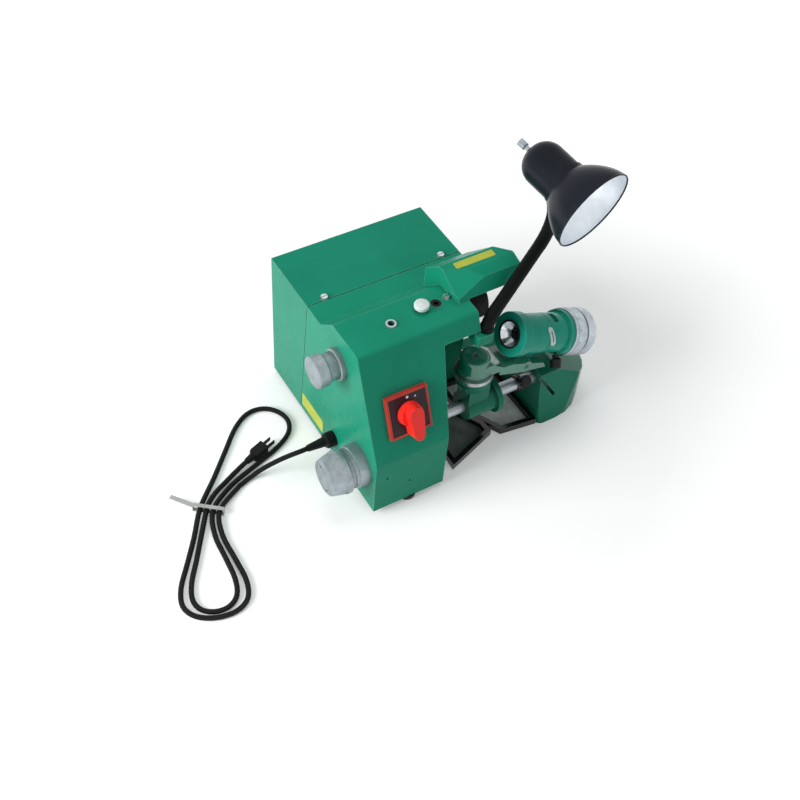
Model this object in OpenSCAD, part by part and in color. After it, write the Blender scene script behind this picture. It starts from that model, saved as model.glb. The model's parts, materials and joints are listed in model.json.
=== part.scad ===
// Universal cutter grinder for router bits.
// X runs to the right, the front faces -Y, Z is up from the bench.
// Inside the modules x counts from the left face, f forward from the rear face, z up from the bench.

/* [Body] */
// Width across the rear box
body_w = 230; // [222:1:240]
// Depth of the sheet-metal rear cover
cover_d = 102; // [96:1:110]
// Height of the rear box above its underside
box_h = 214; // [206:1:222]
// Height of the head's flat top above the underside
head_h = 241; // [234:1:250]
// Flat strip of the casting in front of the cover
strip_d = 35; // [30:1:40]
// Depth of the ramp up to the flat top
ramp_d = 30; // [24:1:36]
// Depth of the flat top
top_d = 63; // [57:1:68]
// Forward run of the sloping front
front_run = 60; // [54:1:66]
// Height of the knee in the front above the underside
knee_h = 94; // [88:1:100]
// Set-back of the front's foot behind the knee
toe_in = 0; // [0:1:8]
// Width of the nose below the knee
nose_w = 108; // [104:1:112]
// Width of the nose under the flat top
nose_top_w = 120; // [116:1:123]
// Reach of the eave to the right of the nose
eave_w = 66; // [62:1:69]
// Height of the eave's front face
eave_t = 26; // [22:1:32]
// Wall of the casting
wall = 6; // [5:0.5:8]
// Sheet of the rear cover
cover_t = 1.5; // [1:0.1:2]
// Height of the rubber feet
foot_h = 9; // [7:0.5:12]
// Diameter of the rubber feet
foot_d = 28; // [22:1:32]

/* [Base arm] */
// Left face of the upright that carries the bar's right end
arm_x = 284; // [278:1:290]
// Right end of the base arm
arm_end = 386; // [380:1:392]
// Front of the base arm, from the rear face
arm_front = 264; // [260:1:270]
// Radius of its front right corner
arm_r = 70; // [56:1:80]
// Width of the rail that ties it to the body
rail_w = 34; // [28:1:36]
// Height of the rail
rail_h = 40; // [30:1:46]
// Height of the upright's outer end
arm_end_h = 52; // [46:1:58]

/* [Wheel spindle] */
// Spindle axis, from the rear face
spindle_f = 174; // [172:0.5:176]
// Spindle axis above the underside
spindle_h = 207; // [205:1:208]
// Outer diameter of the quill
quill_d = 44; // [42:1:46]
// Travel of the quill each way
quill_travel = 3; // [2:0.5:3.5]
// Diameter of the spindle at its bearings
spindle_d = 15; // [14:0.5:16]
// Outer diameter of the ball bearings
bearing_d = 35; // [32:1:36]
// Width of the ball bearings
bearing_w = 11; // [9:1:13]
// Diameter of the grinding wheel
wheel_d = 62; // [56:1:64]
// Width of the grinding wheel
wheel_w = 30; // [26:1:34]
// Bore of the grinding wheel
wheel_bore = 20; // [18:1:22]
// Sheet of the wheel guard
guard_t = 3; // [2:0.5:4]
// Right end of the wheel guard
guard_end = 256; // [250:1:262]
// Rise of the guard over the flat top
guard_rise = 26; // [24:1:30]
// Front of the wheel guard, from the rear face
guard_front = 210; // [206:1:214]

/* [Drive] */
// Motor axis, from the rear face
motor_f = 56; // [54:1:58]
// Motor axis above the underside
motor_h = 90; // [84:1:96]
// Diameter of the motor housing
motor_d = 88; // [84:1:92]
// Length of the motor housing
motor_len = 112; // [100:1:120]
// Radius of the motor pulley
motor_pulley_r = 20; // [18:0.5:22]
// Radius of the spindle pulley
spindle_pulley_r = 12; // [11:0.5:12.5]
// Width of the flat belt
belt_w = 12; // [10:1:13]
// Thickness of the flat belt
belt_t = 2; // [1.5:0.1:2.2]

/* [Feed knobs] */
// Wheel feed axis, from the rear face
feed_f = 187; // [186:1:189]
// Wheel feed axis above the underside
feed_h = 191; // [188:1:192]
// Diameter of the wheel feed drum
feed_d = 43; // [40:1:46]
// Length of the wheel feed knob outside the body
feed_len = 38; // [34:1:42]
// Bar feed axis in front of the bar
shaft_ahead = 20; // [18:0.5:22]
// Bar feed axis above the underside
shaft_h = 62; // [60:1:66]
// Diameter of the bar feed drum
shaft_d = 61; // [56:1:64]
// Length of the bar feed knob outside the body
shaft_len = 55; // [50:1:60]

/* [Guide bar and carriage] */
// Bar axis, from the rear face
bar_f = 232; // [231:0.5:233]
// Bar axis above the underside
bar_h = 64; // [62:1:66]
// Diameter of the bar
bar_d = 18; // [16:0.5:19]
// Travel of the bar each way
bar_travel = 5; // [3:0.5:6]
// Left end of the carriage
carriage_x = 168; // [166:1:170]
// Length of the carriage along the bar
carriage_len = 52; // [50:1:56]
// Diameter of the carriage around the bar
carriage_d = 42; // [38:1:44]

/* [Work head] */
// Swivel axis of the hub
hub_x = 179; // [177:1:181]
// Underside of the hub above the body's underside
hub_h = 133; // [131:1:134]
// Height of the hub
hub_tall = 26; // [24:1:28]
// Diameter of the hub at its foot
hub_d = 46; // [44:1:50]
// Diameter of the hub at its top
hub_top_d = 40; // [36:1:42]
// Collet face, from the left face
head_x = 234; // [232:1:238]
// Collet face above the underside
head_up = 173; // [172:1:177]
// Fall of the work head towards its dial
head_tilt = 23; // [21:1:25]
// Diameter of the work head's barrel
barrel_d = 54; // [52:0.5:55]
// Length of the barrel
barrel_len = 90; // [89:1:94]
// Diameter of the work spindle
work_d = 38; // [36:0.5:39]
// Bore of the collet
collet_bore = 18; // [12:1:18]
// Diameter of the index dial
dial_d = 66; // [64:1:70]
// Length of the index dial
dial_len = 44; // [40:1:48]

/* [Lamp] */
// Foot of the gooseneck, from the left face
lamp_x = 184; // [182:1:187]
// Foot of the gooseneck, from the rear face
lamp_f = 238; // [236:1:241]
// Diameter of the gooseneck
neck_d = 17; // [15:0.5:17]
// Diameter of the shade's mouth
shade_d = 110; // [100:1:116]
// Depth of the shade
shade_len = 52; // [50:1:58]
// Sheet of the shade
shade_t = 1.2; // [1:0.1:2]
// Diameter of the lamp holder
holder_d = 57; // [54:1:60]
// Length of the lamp holder
holder_len = 60; // [58:1:64]

/* [Switch and cord] */
// Side of the square switch plate
switch_w = 60; // [54:1:64]
// Middle of the switch plate, from the left face
switch_x = 54; // [50:1:58]
// Distance of the plate's middle down the sloping front
switch_down = 96; // [90:1:102]
// Diameter of the mains lead
cord_d = 7; // [6:0.5:7]

/* [Hidden] */
$fn = 64;

// Clearances
slip = 0.05;
gap = 0.3;
eps = 0.01;

// Levels and stations of the body
z_sole = foot_h;
z_box = z_sole + box_h;
z_head = z_sole + head_h;
z_knee = z_sole + knee_h;
f_strip = cover_d + strip_d;
f_ramp = f_strip + ramp_d;
f_top = f_ramp + top_d;
f_knee = f_top + front_run;
f_toe = f_knee - toe_in;
eave_x = nose_w + eave_w;
z_spindle = z_sole + spindle_h;
z_feed = z_sole + feed_h;
shaft_f = bar_f + shaft_ahead;
z_shaft = z_sole + shaft_h;
z_bar = z_sole + bar_h;
z_motor = z_sole + motor_h;
z_head_axis = z_sole + head_up;
z_hub = z_sole + hub_h;

// Sloping front and the handle of its switch, the foremost point of the machine
front_len = norm([front_run, z_head - z_knee]);
front_tilt = acos(front_run / front_len);
switch_t = 7;
grip_h = 22;
grip_r = 7.5;
grip_drop = 23;
grip_tip = f_top + front_run * switch_down / front_len + (grip_drop + grip_r) * cos(front_tilt)
    + (switch_t + grip_h) * sin(front_tilt);

// Screws of the cover and the guard
screw_d = 4;
screw_head_d = 11;
screw_head_h = 3;
screw_len = 10;
slot_w = 1.2;

// Middle of the object's plan, which the origin stands under
mid_x = (arm_end - shaft_len) / 2;
mid_f = (grip_tip - screw_head_h) / 2;

// Colours
green = [0.05, 0.45, 0.34];
grey = [0.62, 0.63, 0.64];
steel = [0.75, 0.76, 0.78];
black = [0.08, 0.08, 0.09];
red = [0.85, 0.12, 0.1];
white = [0.93, 0.94, 0.93];

function unit(v) = v / norm(v);

// Corners of a counter-clockwise outline moved inwards by d
function inset(p, d) = let (n = len(p)) [for (i = [0 : n - 1])
    let (e1 = unit(p[i] - p[(i + n - 1) % n]), e2 = unit(p[(i + 1) % n] - p[i]),
         n1 = [-e1[1], e1[0]], n2 = [-e2[1], e2[0]])
    p[i] + d * (n1 + n2) / (1 + n1 * n2)];

// Rounded corner at b between the sides towards a and c
function corner(a, b, c, r, n = 6) = let (u = unit(a - b), v = unit(c - b), t = r / tan(acos(u * v) / 2),
    p = b + t * u, q = b + t * v)
    [for (i = [0 : n]) let (k = i / n) (1 - k) * (1 - k) * p + 2 * k * (1 - k) * b + k * k * q];

// Points of an arc about c from angle a0 to a1
function arc(c, r, a0, a1, n = 6) = [for (i = [0 : n]) let (a = a0 + (a1 - a0) * i / n)
    c + r * [cos(a), sin(a)]];

module at_origin() { translate([-mid_x, mid_f, 0]) children(); }

// Outline in f and z, carried from x0 to x1
module across(x0, x1) {
    translate([x0, 0, 0]) rotate([90, 0, 90]) linear_extrude(x1 - x0) mirror([1, 0]) children();
}

// Outline in x and z, carried from f0 forward to f1
module forward(f0, f1) { translate([0, -f0, 0]) rotate([90, 0, 0]) linear_extrude(f1 - f0) children(); }

// Outline in x and f, carried from z0 up to z1
module upward(z0, z1) { translate([0, 0, z0]) linear_extrude(z1 - z0) mirror([0, 1]) children(); }

module rod_x(x0, x1, f, z, d) { translate([x0, -f, z]) rotate([0, 90, 0]) cylinder(d = d, h = x1 - x0); }

module rod_f(f0, f1, x, z, d) { translate([x, -f0, z]) rotate([90, 0, 0]) cylinder(d = d, h = f1 - f0); }

module post(x, f, z0, z1, d) { translate([x, -f, z0]) cylinder(d = d, h = z1 - z0); }

module block(x0, x1, f0, f1, z0, z1) { translate([x0, -f1, z0]) cube([x1 - x0, f1 - f0, z1 - z0]); }

// Turned shape along x at an axis; the outline is radius over distance to the left
module turned_left(f, z) { translate([0, -f, z]) rotate([0, -90, 0]) rotate_extrude() children(); }

// Body outline in f and z: foot, knee, brow, ridge, and the crease above the strip
knee_r = 25;
brow_r = 8;
ridge_r = 6;
cove_r = 6;
seam = 1.2;
seam_lean = 18;
toe = [f_toe, z_sole];
knee = [f_knee, z_knee];
brow = [f_top, z_head];
ridge = [f_ramp, z_head];
crease = [f_strip, z_box];
seam_top = [cover_d, z_box];
seam_foot = [cover_d - seam_lean, z_sole];
f_open = seam_foot[0] - 2 * wall;
top_pts = concat(corner(brow, ridge, crease, ridge_r), corner(ridge, crease, seam_top, cove_r));
body_pts = concat([seam_foot, toe], corner(toe, knee, brow, knee_r), corner(knee, brow, ridge, brow_r),
    top_pts, [seam_top]);
open_pts = [[f_open, z_sole], toe, knee, brow, ridge, crease, [f_open, z_box]];
z_eave = z_head - eave_t;
f_eave = f_top + front_run * eave_t / (z_head - z_knee);
eave_rear_h = 50;
eave_rear = f_strip - wall + 1;
eave_pts = concat([[eave_rear, z_box - eave_rear_h], [f_ramp + wall, z_eave], [f_eave, z_eave]],
    corner([f_eave, z_eave], brow, ridge, brow_r), top_pts, [[eave_rear, z_box]]);
nose_pts = [[0, z_sole], [nose_w, z_sole], [nose_w, z_knee], [nose_top_w, z_eave], [nose_top_w, z_head],
    [0, z_head]];

// Sloping front: local x to the right, local y up the slope, local z out of it
module on_front(x, down) {
    translate([x, -(f_top + front_run * down / front_len), z_head - (z_head - z_knee) * down / front_len])
        rotate([front_tilt, 0, 0]) children();
}

// Spindle boss and quill
boss_d = quill_d + 14;
boss_x = 78;
quill_x = 54;
quill_end = eave_x + 2;
quill_bore = bearing_d - 8;
flange_x = quill_end + 1;
flange_t = 3;
wheel_x = flange_x + flange_t;
wheel_web = 16;
pulley_x = 14;
pulley_w = 18;
drive_d = 12;
yoke_t = 10;
yoke_room = 4;
feed_screw_d = 8;
shaft_screw_d = 12;
bar_left = 30;
bar_right = arm_x + 34;
bar_boss_d = bar_d + 16;
bar_boss_out = 4;

// Fittings on the flat top
button_x = 112;
button_f = 194;
button_travel = 3;
button_pin_d = 8;
ring_x = 65;
ring_f = 199;
ring_d = 15;
ring_bore = 9;
socket_x = 134;
socket_f = 193;
socket_d = 14;
socket_h = 8;
socket_key = 8;
guard_foot = 152;
guard_screw_x = guard_foot - 1;
guard_screw_f = 190;

// Drilled marks low on the front
front_holes = [[18, 70], [53, 45]];
front_hole_d = 4;
front_hole_depth = 3;

// Cover screws on the top and on the back
cover_screw_x = [27, body_w - 27];
cover_screw_f = cover_d - 5;
cover_screw_z = z_sole + 4;
lip_d = 16;
lip_t = 5;
lip_in = 12;

// Lamp bracket under the end of the eave
bracket_d = 22;
bracket_h = 15;
bracket_top = z_sole + 211;
bracket_web = 8;
bracket_back = f_ramp + wall + 30;

gland_f = 179;
gland_h = 34;
gland_thread_d = 16;
z_gland = z_sole + gland_h;

// Main casting: hollow nose and rear frame, with the eave over the work bay
module body_casting() {
    color(green) difference() {
        union() {
            difference() {
                union() {
                    intersection() {
                        across(0, nose_top_w) polygon(body_pts);
                        forward(0, f_knee + 1) polygon(nose_pts);
                    }
                    across(nose_w - eps, body_w) polygon([seam_foot, [f_strip, z_sole], crease, seam_top]);
                }
                across(wall, nose_w - wall) polygon(inset(open_pts, wall));
                block(nose_w - wall - 1, body_w - wall, f_open, f_strip - wall, z_sole + wall, z_box - wall);
            }
            across(nose_w - eps, eave_x) polygon(eave_pts);
            rod_x(boss_x, eave_x, spindle_f, z_spindle, boss_d);
            rod_x(nose_w - 3 * wall, nose_w + bar_boss_out, bar_f, z_bar, bar_boss_d);
            block(cover_t + gap, body_w - cover_t - gap, cover_t + gap, cover_d + 1, z_sole, z_sole + wall);
            block(lip_in, body_w - lip_in, cover_d - lip_d, cover_d + 1,
                z_box - cover_t - lip_t, z_box - cover_t);
            lamp_bracket();
        }
        rod_x(boss_x - 1, eave_x + 1, spindle_f, z_spindle, quill_d + 2 * slip);
        rod_x(wall, boss_x, spindle_f, z_spindle, quill_d + yoke_room);
        rod_x(-1, nose_w, feed_f, z_feed, feed_screw_d + 2 * slip);
        rod_x(-1, wall + 1, shaft_f, z_shaft, shaft_screw_d + 2 * slip);
        rod_x(nose_w - 4 * wall, nose_w + bar_boss_out + 1, bar_f, z_bar, bar_d + 2 * slip);
        rod_x(-1, wall + 1, gland_f, z_gland, gland_thread_d + 2 * slip);
        on_front(switch_x, switch_down) translate([0, 0, -2 * wall])
            cylinder(d = 2 * switch_shaft_d, h = 3 * wall);
        for (p = front_holes) rod_f(f_knee - front_hole_depth, f_knee + 1, p[0], p[1], front_hole_d);
        post(button_x, button_f, z_spindle, z_head + 1, button_pin_d + 2 * slip);
        post(ring_x, ring_f, z_head - 2 * wall, z_head + 1, ring_bore);
        post(socket_x, socket_f, z_head - socket_h, z_head + 1, socket_d + 2 * slip);
        post(guard_screw_x, guard_screw_f, z_head - screw_len, z_head + 1, screw_d + 2 * slip);
        for (x = cover_screw_x) post(x, cover_screw_f, z_box - screw_len - 1, z_box, screw_d + 2 * slip);
        for (x = cover_screw_x) rod_f(0, screw_len + 2, x, cover_screw_z, screw_d + 2 * slip);
        for (z = base_bolt_z) rod_x(body_w - 2 * wall, body_w + 1, base_bolt_f, z, base_bolt_d + 2 * slip);
        post(lamp_x, lamp_f, bracket_top - bracket_h - 1, bracket_top + 1, neck_foot_d + 2 * slip);
    }
}

// Lug on the end of the eave with a bore for the gooseneck's foot
module lamp_bracket() {
    block(eave_x - bracket_web, eave_x, bracket_back, f_eave, bracket_top - bracket_h, z_eave + 1);
    block(eave_x - bracket_web, lamp_x, lamp_f - bracket_d / 2, lamp_f + bracket_d / 2,
        bracket_top - bracket_h, bracket_top);
    post(lamp_x, lamp_f, bracket_top - bracket_h, bracket_top, bracket_d);
}

// Five-sided sheet-metal box behind the casting
module rear_cover() {
    color(green) difference() {
        across(0, body_w) polygon([[0, z_sole], seam_foot - [seam, 0], seam_top - [seam, 0], [0, z_box]]);
        block(cover_t, body_w - cover_t, cover_t, cover_d + 1, z_sole - 1, z_box - cover_t);
        for (x = cover_screw_x) post(x, cover_screw_f, z_box - 2 * cover_t, z_box + 1, screw_d + 2 * slip);
        for (x = cover_screw_x) rod_f(-1, 2 * cover_t, x, cover_screw_z, screw_d + 2 * slip);
    }
}

// Pan-head screw with a slot, head up from the origin
module pan_screw() {
    difference() {
        union() {
            cylinder(d1 = screw_head_d, d2 = screw_head_d - 2, h = screw_head_h);
            translate([0, 0, -screw_len + 1]) cylinder(d = screw_d, h = screw_len);
        }
        translate([-screw_head_d, -slot_w / 2, screw_head_h - 1]) cube([2 * screw_head_d, slot_w, 2]);
    }
}

module cover_screws() {
    color(steel) {
        for (x = cover_screw_x) translate([x, -cover_screw_f, z_box]) pan_screw();
        for (x = cover_screw_x) translate([x, 0, cover_screw_z]) rotate([-90, 0, 0]) pan_screw();
    }
}

foot_at = [[nose_w / 2 + 4, f_toe - 12], [30, 28], [body_w - 30, 28]];

module rubber_feet() {
    color(black) for (p = foot_at) translate([p[0], -p[1], 0])
        cylinder(d1 = foot_d - 4, d2 = foot_d, h = foot_h);
}

// Hook-shaped base arm: rail along the bench, then an upright with the bar's outer bearing
rail_f = f_strip - rail_w;
arm_boss_d = bar_d + 20;
arm_foot_r = 10;
base_bolt_d = 8;
base_bolt_f = cover_d + strip_d / 2;
base_bolt_z = [z_sole + 12, z_sole + 28];
arm_pts = concat([[body_w, rail_f]], arc([arm_end - arm_r, rail_f + arm_r], arm_r, -90, 0),
    arc([arm_end - arm_r, arm_front - arm_r], arm_r, 0, 90),
    arc([arm_x + arm_foot_r, arm_front - arm_foot_r], arm_foot_r, 90, 180, 4),
    [[arm_x, f_strip], [body_w, f_strip]]);
bar_top = z_bar + arm_boss_d / 2;
groove_at = [0, 86];
groove_lean = -33;
groove_len = 48;
groove_w = 5;
groove_depth = 15;
bolt_in = 14;

module base_arm() {
    color(green) difference() {
        intersection() {
            upward(0, bar_top) polygon(arm_pts);
            forward(0, arm_front + 1) polygon([[body_w, 0], [arm_end, 0], [arm_end, arm_end_h],
                [arm_x + 30, bar_top], [arm_x, bar_top], [arm_x, rail_h], [body_w, rail_h]]);
            across(body_w, arm_end) polygon([[0, 0], [arm_front, 0], [arm_front - 4, 24],
                [bar_f + arm_boss_d / 2, bar_top], [bar_f - arm_boss_d, bar_top], [f_strip + 6, rail_h],
                [0, rail_h]]);
        }
        rod_x(arm_x - 1, bar_right + bar_travel + 2, bar_f, z_bar, bar_d + 2 * slip);
        for (z = base_bolt_z) rod_x(body_w - 1, body_w + bolt_in, base_bolt_f, z, base_bolt_d + 2 * slip);
        translate([arm_x + groove_at[0], 0, groove_at[1]]) rotate([0, groove_lean, 0])
            translate([-groove_w / 2, -arm_front - 1, -groove_len])
            cube([groove_w, groove_depth + 1, groove_len]);
    }
}

module base_bolts() {
    color(steel) for (z = base_bolt_z) rod_x(body_w - wall, body_w + bolt_in, base_bolt_f, z, base_bolt_d);
}

// Wheel guard: sloping facet on its left, chamfered corner at its right rear, open below
guard_top = z_head + guard_rise;
guard_corner = 41;
facet_at = [guard_foot + 5, f_strip + 31];
facet_lean = 30.5;
facet_turn = 244;
facet_reach = 100;
guard_pts = [[f_strip, z_box], [guard_front, z_head], [guard_front - 12, guard_top - 4.5],
    [guard_front - 28, guard_top], [f_strip + 23, guard_top], [f_strip, guard_top - 20]];
guard_plan = [[guard_foot, f_strip], [guard_foot + 4.5, facet_at[1]], [guard_foot + 4.5, facet_at[1] + 30],
    [guard_foot + 8, guard_front + 2],
    [guard_end, guard_front + 2], [guard_end, f_strip + guard_corner], [guard_end - guard_corner, f_strip]];

// Everything above the sloping facet
module guard_facet(d) {
    translate([facet_at[0], -facet_at[1], guard_top]) rotate([0, facet_lean, facet_turn])
        translate([-facet_reach, -facet_reach, -d]) cube([2 * facet_reach, 2 * facet_reach, facet_reach]);
}

module wheel_guard() {
    inner = inset(guard_pts, guard_t);
    color(green) difference() {
        intersection() {
            across(guard_foot, guard_end) polygon(guard_pts);
            upward(z_sole, guard_top + 1) polygon(guard_plan);
        }
        guard_facet(0);
        difference() {
            intersection() {
                across(eave_x, guard_end) polygon([[inner[0][0], 0], [inner[1][0], 0], inner[1], inner[2],
                    inner[3], inner[4], inner[5]]);
                upward(z_sole, guard_top) polygon([[guard_foot, f_strip], [guard_foot, guard_front + 2],
                    [guard_end - guard_t, guard_front + 2],
                    [guard_end - guard_t, f_strip + guard_corner + guard_t / 2],
                    [guard_end - guard_corner - guard_t / 2, f_strip]]);
            }
            guard_facet(guard_t);
        }
        across(0, eave_x) polygon(body_pts);
        rod_x(boss_x, eave_x, spindle_f, z_spindle, boss_d);
        block(eave_x, guard_end + 1, f_ramp, guard_front + 1, z_sole, z_head + 3);
    }
}

module guard_screw() { color(steel) translate([guard_screw_x, -guard_screw_f, z_head]) pan_screw(); }

// Threaded oil inlet on the flat top
module oil_ring() {
    color(steel) translate([ring_x, -ring_f, z_head]) difference() {
        cylinder(d1 = ring_d, d2 = ring_d - 1, h = 1.5);
        translate([0, 0, -1]) cylinder(d = ring_bore, h = 4);
    }
}

// Black socket screw that clamps the quill
module socket_plug() {
    color(black) translate([socket_x, -socket_f, z_head - socket_h]) difference() {
        cylinder(d = socket_d, h = socket_h - 1);
        translate([0, 0, socket_h / 2]) cylinder(d = socket_key, h = socket_h, $fn = 6);
    }
}

// Domed push button that locks the spindle
module lock_button() {
    color(white) translate([button_x, -button_f, z_head]) {
        translate([0, 0, button_travel + 1.5]) rotate_extrude()
            polygon(concat([[0, 0], [10, 0]], arc([8, 3.5], 2, 0, 90, 4), [[0, 6.5]]));
        translate([0, 0, -8]) cylinder(d = button_pin_d, h = 10 + button_travel);
    }
}

// Motor: ribbed housing on feet, with rotor and pulley
motor_end = 20;
motor_x = body_w - motor_end - motor_len;
rotor_d = 56;

module motor_housing() {
    color(grey) difference() {
        union() {
            rod_x(motor_x, motor_x + motor_len, motor_f, z_motor, motor_d - 6);
            for (x = [motor_x : 8 : motor_x + motor_len - 4]) rod_x(x, x + 4, motor_f, z_motor, motor_d);
            block(motor_x + 12, motor_x + motor_len - 16, motor_f - 30, motor_f + 30,
                z_sole + wall, z_motor - rotor_d / 2 - 4);
        }
        rod_x(motor_x + 8, motor_x + motor_len - 8, motor_f, z_motor, rotor_d + 2);
        rod_x(motor_x - 1, motor_x + motor_len - 4, motor_f, z_motor, drive_d + 2 * slip);
    }
}

module motor_rotor() {
    color(steel) {
        rod_x(pulley_x - 2, motor_x + motor_len - 5, motor_f, z_motor, drive_d);
        rod_x(motor_x + 9, motor_x + motor_len - 9, motor_f, z_motor, rotor_d);
    }
}

module pulley(f, z, r) {
    difference() {
        rod_x(pulley_x, pulley_x + pulley_w, f, z, 2 * r);
        rod_x(pulley_x - 1, pulley_x + pulley_w + 1, f, z, drive_d + 2 * slip);
    }
}

module motor_pulley() { color(grey) pulley(motor_f, z_motor, motor_pulley_r); }

module spindle_pulley() { color(grey) pulley(spindle_f, z_spindle, spindle_pulley_r); }

// Open flat belt: two circles and the band between their outer tangents
module belt_outline(grow) {
    span = [spindle_f - motor_f, z_spindle - z_motor];
    r1 = motor_pulley_r + grow;
    r2 = spindle_pulley_r + grow;
    lean = acos((r1 - r2) / norm(span));
    run = atan2(span[1], span[0]);
    m = [motor_f, z_motor];
    s = [spindle_f, z_spindle];
    translate(m) circle(r1);
    translate(s) circle(r2);
    polygon([m + r1 * [cos(run - lean), sin(run - lean)], s + r2 * [cos(run - lean), sin(run - lean)],
        s + r2 * [cos(run + lean), sin(run + lean)], m + r1 * [cos(run + lean), sin(run + lean)]]);
}

module drive_belt() {
    color(black) across(pulley_x + (pulley_w - belt_w) / 2, pulley_x + (pulley_w + belt_w) / 2) difference() {
        belt_outline(belt_t + slip);
        belt_outline(slip);
    }
}

// Quill that slides in the boss and carries the spindle in two bearings
module quill() {
    color(steel) difference() {
        rod_x(quill_x, quill_end, spindle_f, z_spindle, quill_d);
        rod_x(quill_x - 1, quill_end + 1, spindle_f, z_spindle, quill_bore);
        rod_x(quill_x - 1, quill_x + bearing_w, spindle_f, z_spindle, bearing_d);
        rod_x(quill_end - bearing_w, quill_end + 1, spindle_f, z_spindle, bearing_d);
    }
}

// Plate on the quill's end with the nut of the feed screw
module feed_yoke() {
    color(grey) difference() {
        union() {
            rod_x(quill_x - yoke_t, quill_x, spindle_f, z_spindle, quill_d);
            rod_x(quill_x - yoke_t, quill_x, feed_f, z_feed, feed_screw_d + 14);
        }
        rod_x(quill_x - yoke_t - 1, quill_x + 1, spindle_f, z_spindle, quill_bore);
        rod_x(quill_x - yoke_t - 1, quill_x + 1, feed_f, z_feed, feed_screw_d + 2 * slip);
    }
}

module spindle_bearings() {
    color(steel) for (x = [quill_x, quill_end - bearing_w]) difference() {
        rod_x(x, x + bearing_w, spindle_f, z_spindle, bearing_d - 2 * slip);
        rod_x(x - 1, x + bearing_w + 1, spindle_f, z_spindle, spindle_d + 2 * slip);
    }
}

module spindle() {
    color(steel) {
        rod_x(pulley_x - 2, quill_x, spindle_f, z_spindle, drive_d);
        rod_x(pulley_x + pulley_w, wheel_x + wheel_w - 2, spindle_f, z_spindle, spindle_d);
    }
}

module wheel_flange() {
    color(grey) difference() {
        union() {
            rod_x(flange_x, wheel_x, spindle_f, z_spindle, wheel_d * 0.55);
            rod_x(flange_x, wheel_x + wheel_web, spindle_f, z_spindle, wheel_bore);
        }
        rod_x(flange_x - 1, wheel_x + wheel_web + 1, spindle_f, z_spindle, spindle_d + 2 * slip);
    }
}

// Cup wheel, recessed on its right face
module grinding_wheel() {
    color([0.12, 0.12, 0.13]) difference() {
        rod_x(wheel_x, wheel_x + wheel_w, spindle_f, z_spindle, wheel_d);
        rod_x(wheel_x - 1, wheel_x + wheel_w, spindle_f, z_spindle, wheel_bore + 2 * slip);
        rod_x(wheel_x + wheel_web, wheel_x + wheel_w + 1, spindle_f, z_spindle, wheel_d - 20);
    }
}

module wheel_nut() {
    color(steel) translate([wheel_x + wheel_web, -spindle_f, z_spindle]) rotate([0, 90, 0]) difference() {
        cylinder(d = wheel_bore + 12, h = 9, $fn = 6);
        translate([0, 0, -1]) cylinder(d = spindle_d + 2 * slip, h = 12);
    }
}

// Wheel feed knob on the left face
bush_len = 8;

module feed_bush() {
    color(grey) turned_left(feed_f, z_feed) difference() {
        polygon([[0, 0], [feed_d / 2, 0], [feed_d / 2, bush_len - 1.5], [feed_d / 2 - 1.5, bush_len],
            [0, bush_len]]);
        square([feed_screw_d / 2 + slip, bush_len + 1]);
    }
}

module feed_dial() {
    sleeve_r = feed_d / 2 - 3;
    drum_at = feed_len - 17;
    color(grey) turned_left(feed_f, z_feed) difference() {
        polygon(concat([[0, bush_len + gap], [sleeve_r, bush_len + gap], [sleeve_r, drum_at],
            [feed_d / 2 - 1, drum_at], [feed_d / 2, drum_at + 1.5]],
            arc([feed_d / 2 - 2.5, feed_len - 2.5], 2.5, 0, 90, 4), [[0, feed_len]]));
        square([feed_screw_d / 2 + slip, feed_len - 8]);
    }
}

module feed_screw() {
    color(steel) rod_x(-feed_len + 8, quill_x - quill_travel - 1, feed_f, z_feed, feed_screw_d);
}

// Bar feed knob on the left face
shaft_bush_len = 20;
shaft_drum_at = 26;

module shaft_bush() {
    color(grey) turned_left(shaft_f, z_shaft) difference() {
        polygon([[0, 0], [shaft_d / 2 - 1.5, 0], [shaft_d / 2 - 1.5, shaft_bush_len - 5],
            [shaft_d / 2 - 3, shaft_bush_len - 4], [shaft_d / 2 - 3, shaft_bush_len], [0, shaft_bush_len]]);
        square([shaft_screw_d / 2 + slip, shaft_bush_len + 1]);
    }
}

module shaft_dial() {
    sleeve_r = shaft_d / 2 - 4;
    face_r = shaft_d / 2 - 5;
    hole_d = 5;
    color(grey) difference() {
        turned_left(shaft_f, z_shaft) difference() {
            polygon(concat([[0, shaft_bush_len + gap], [sleeve_r, shaft_bush_len + gap],
                [sleeve_r, shaft_drum_at], [shaft_d / 2 - 1.5, shaft_drum_at],
                [shaft_d / 2, shaft_drum_at + 1.5], [shaft_d / 2, shaft_drum_at + 6]],
                arc([face_r - 3, shaft_len - 3], 3, 10, 90, 4), [[0, shaft_len]]));
            square([shaft_screw_d / 2 + slip, shaft_len - 12]);
        }
        translate([-shaft_drum_at - 9, -shaft_f, z_shaft]) rotate([110, 0, 0])
            translate([0, 0, shaft_d / 2 - 8]) cylinder(d = hole_d, h = 12);
        for (a = [60, 240]) translate([-shaft_len - 1, -shaft_f, z_shaft]) rotate([a, 0, 0])
            translate([0, face_r - 8, 0]) rotate([0, 90, 0]) cylinder(d = hole_d, h = 4);
    }
}

module shaft_screw() { color(steel) rod_x(-shaft_len + 12, bar_left + 40, shaft_f, z_shaft, shaft_screw_d); }

// Nut plate inside the nose that ties the bar to its screw
bar_yoke_x = 46;

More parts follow.
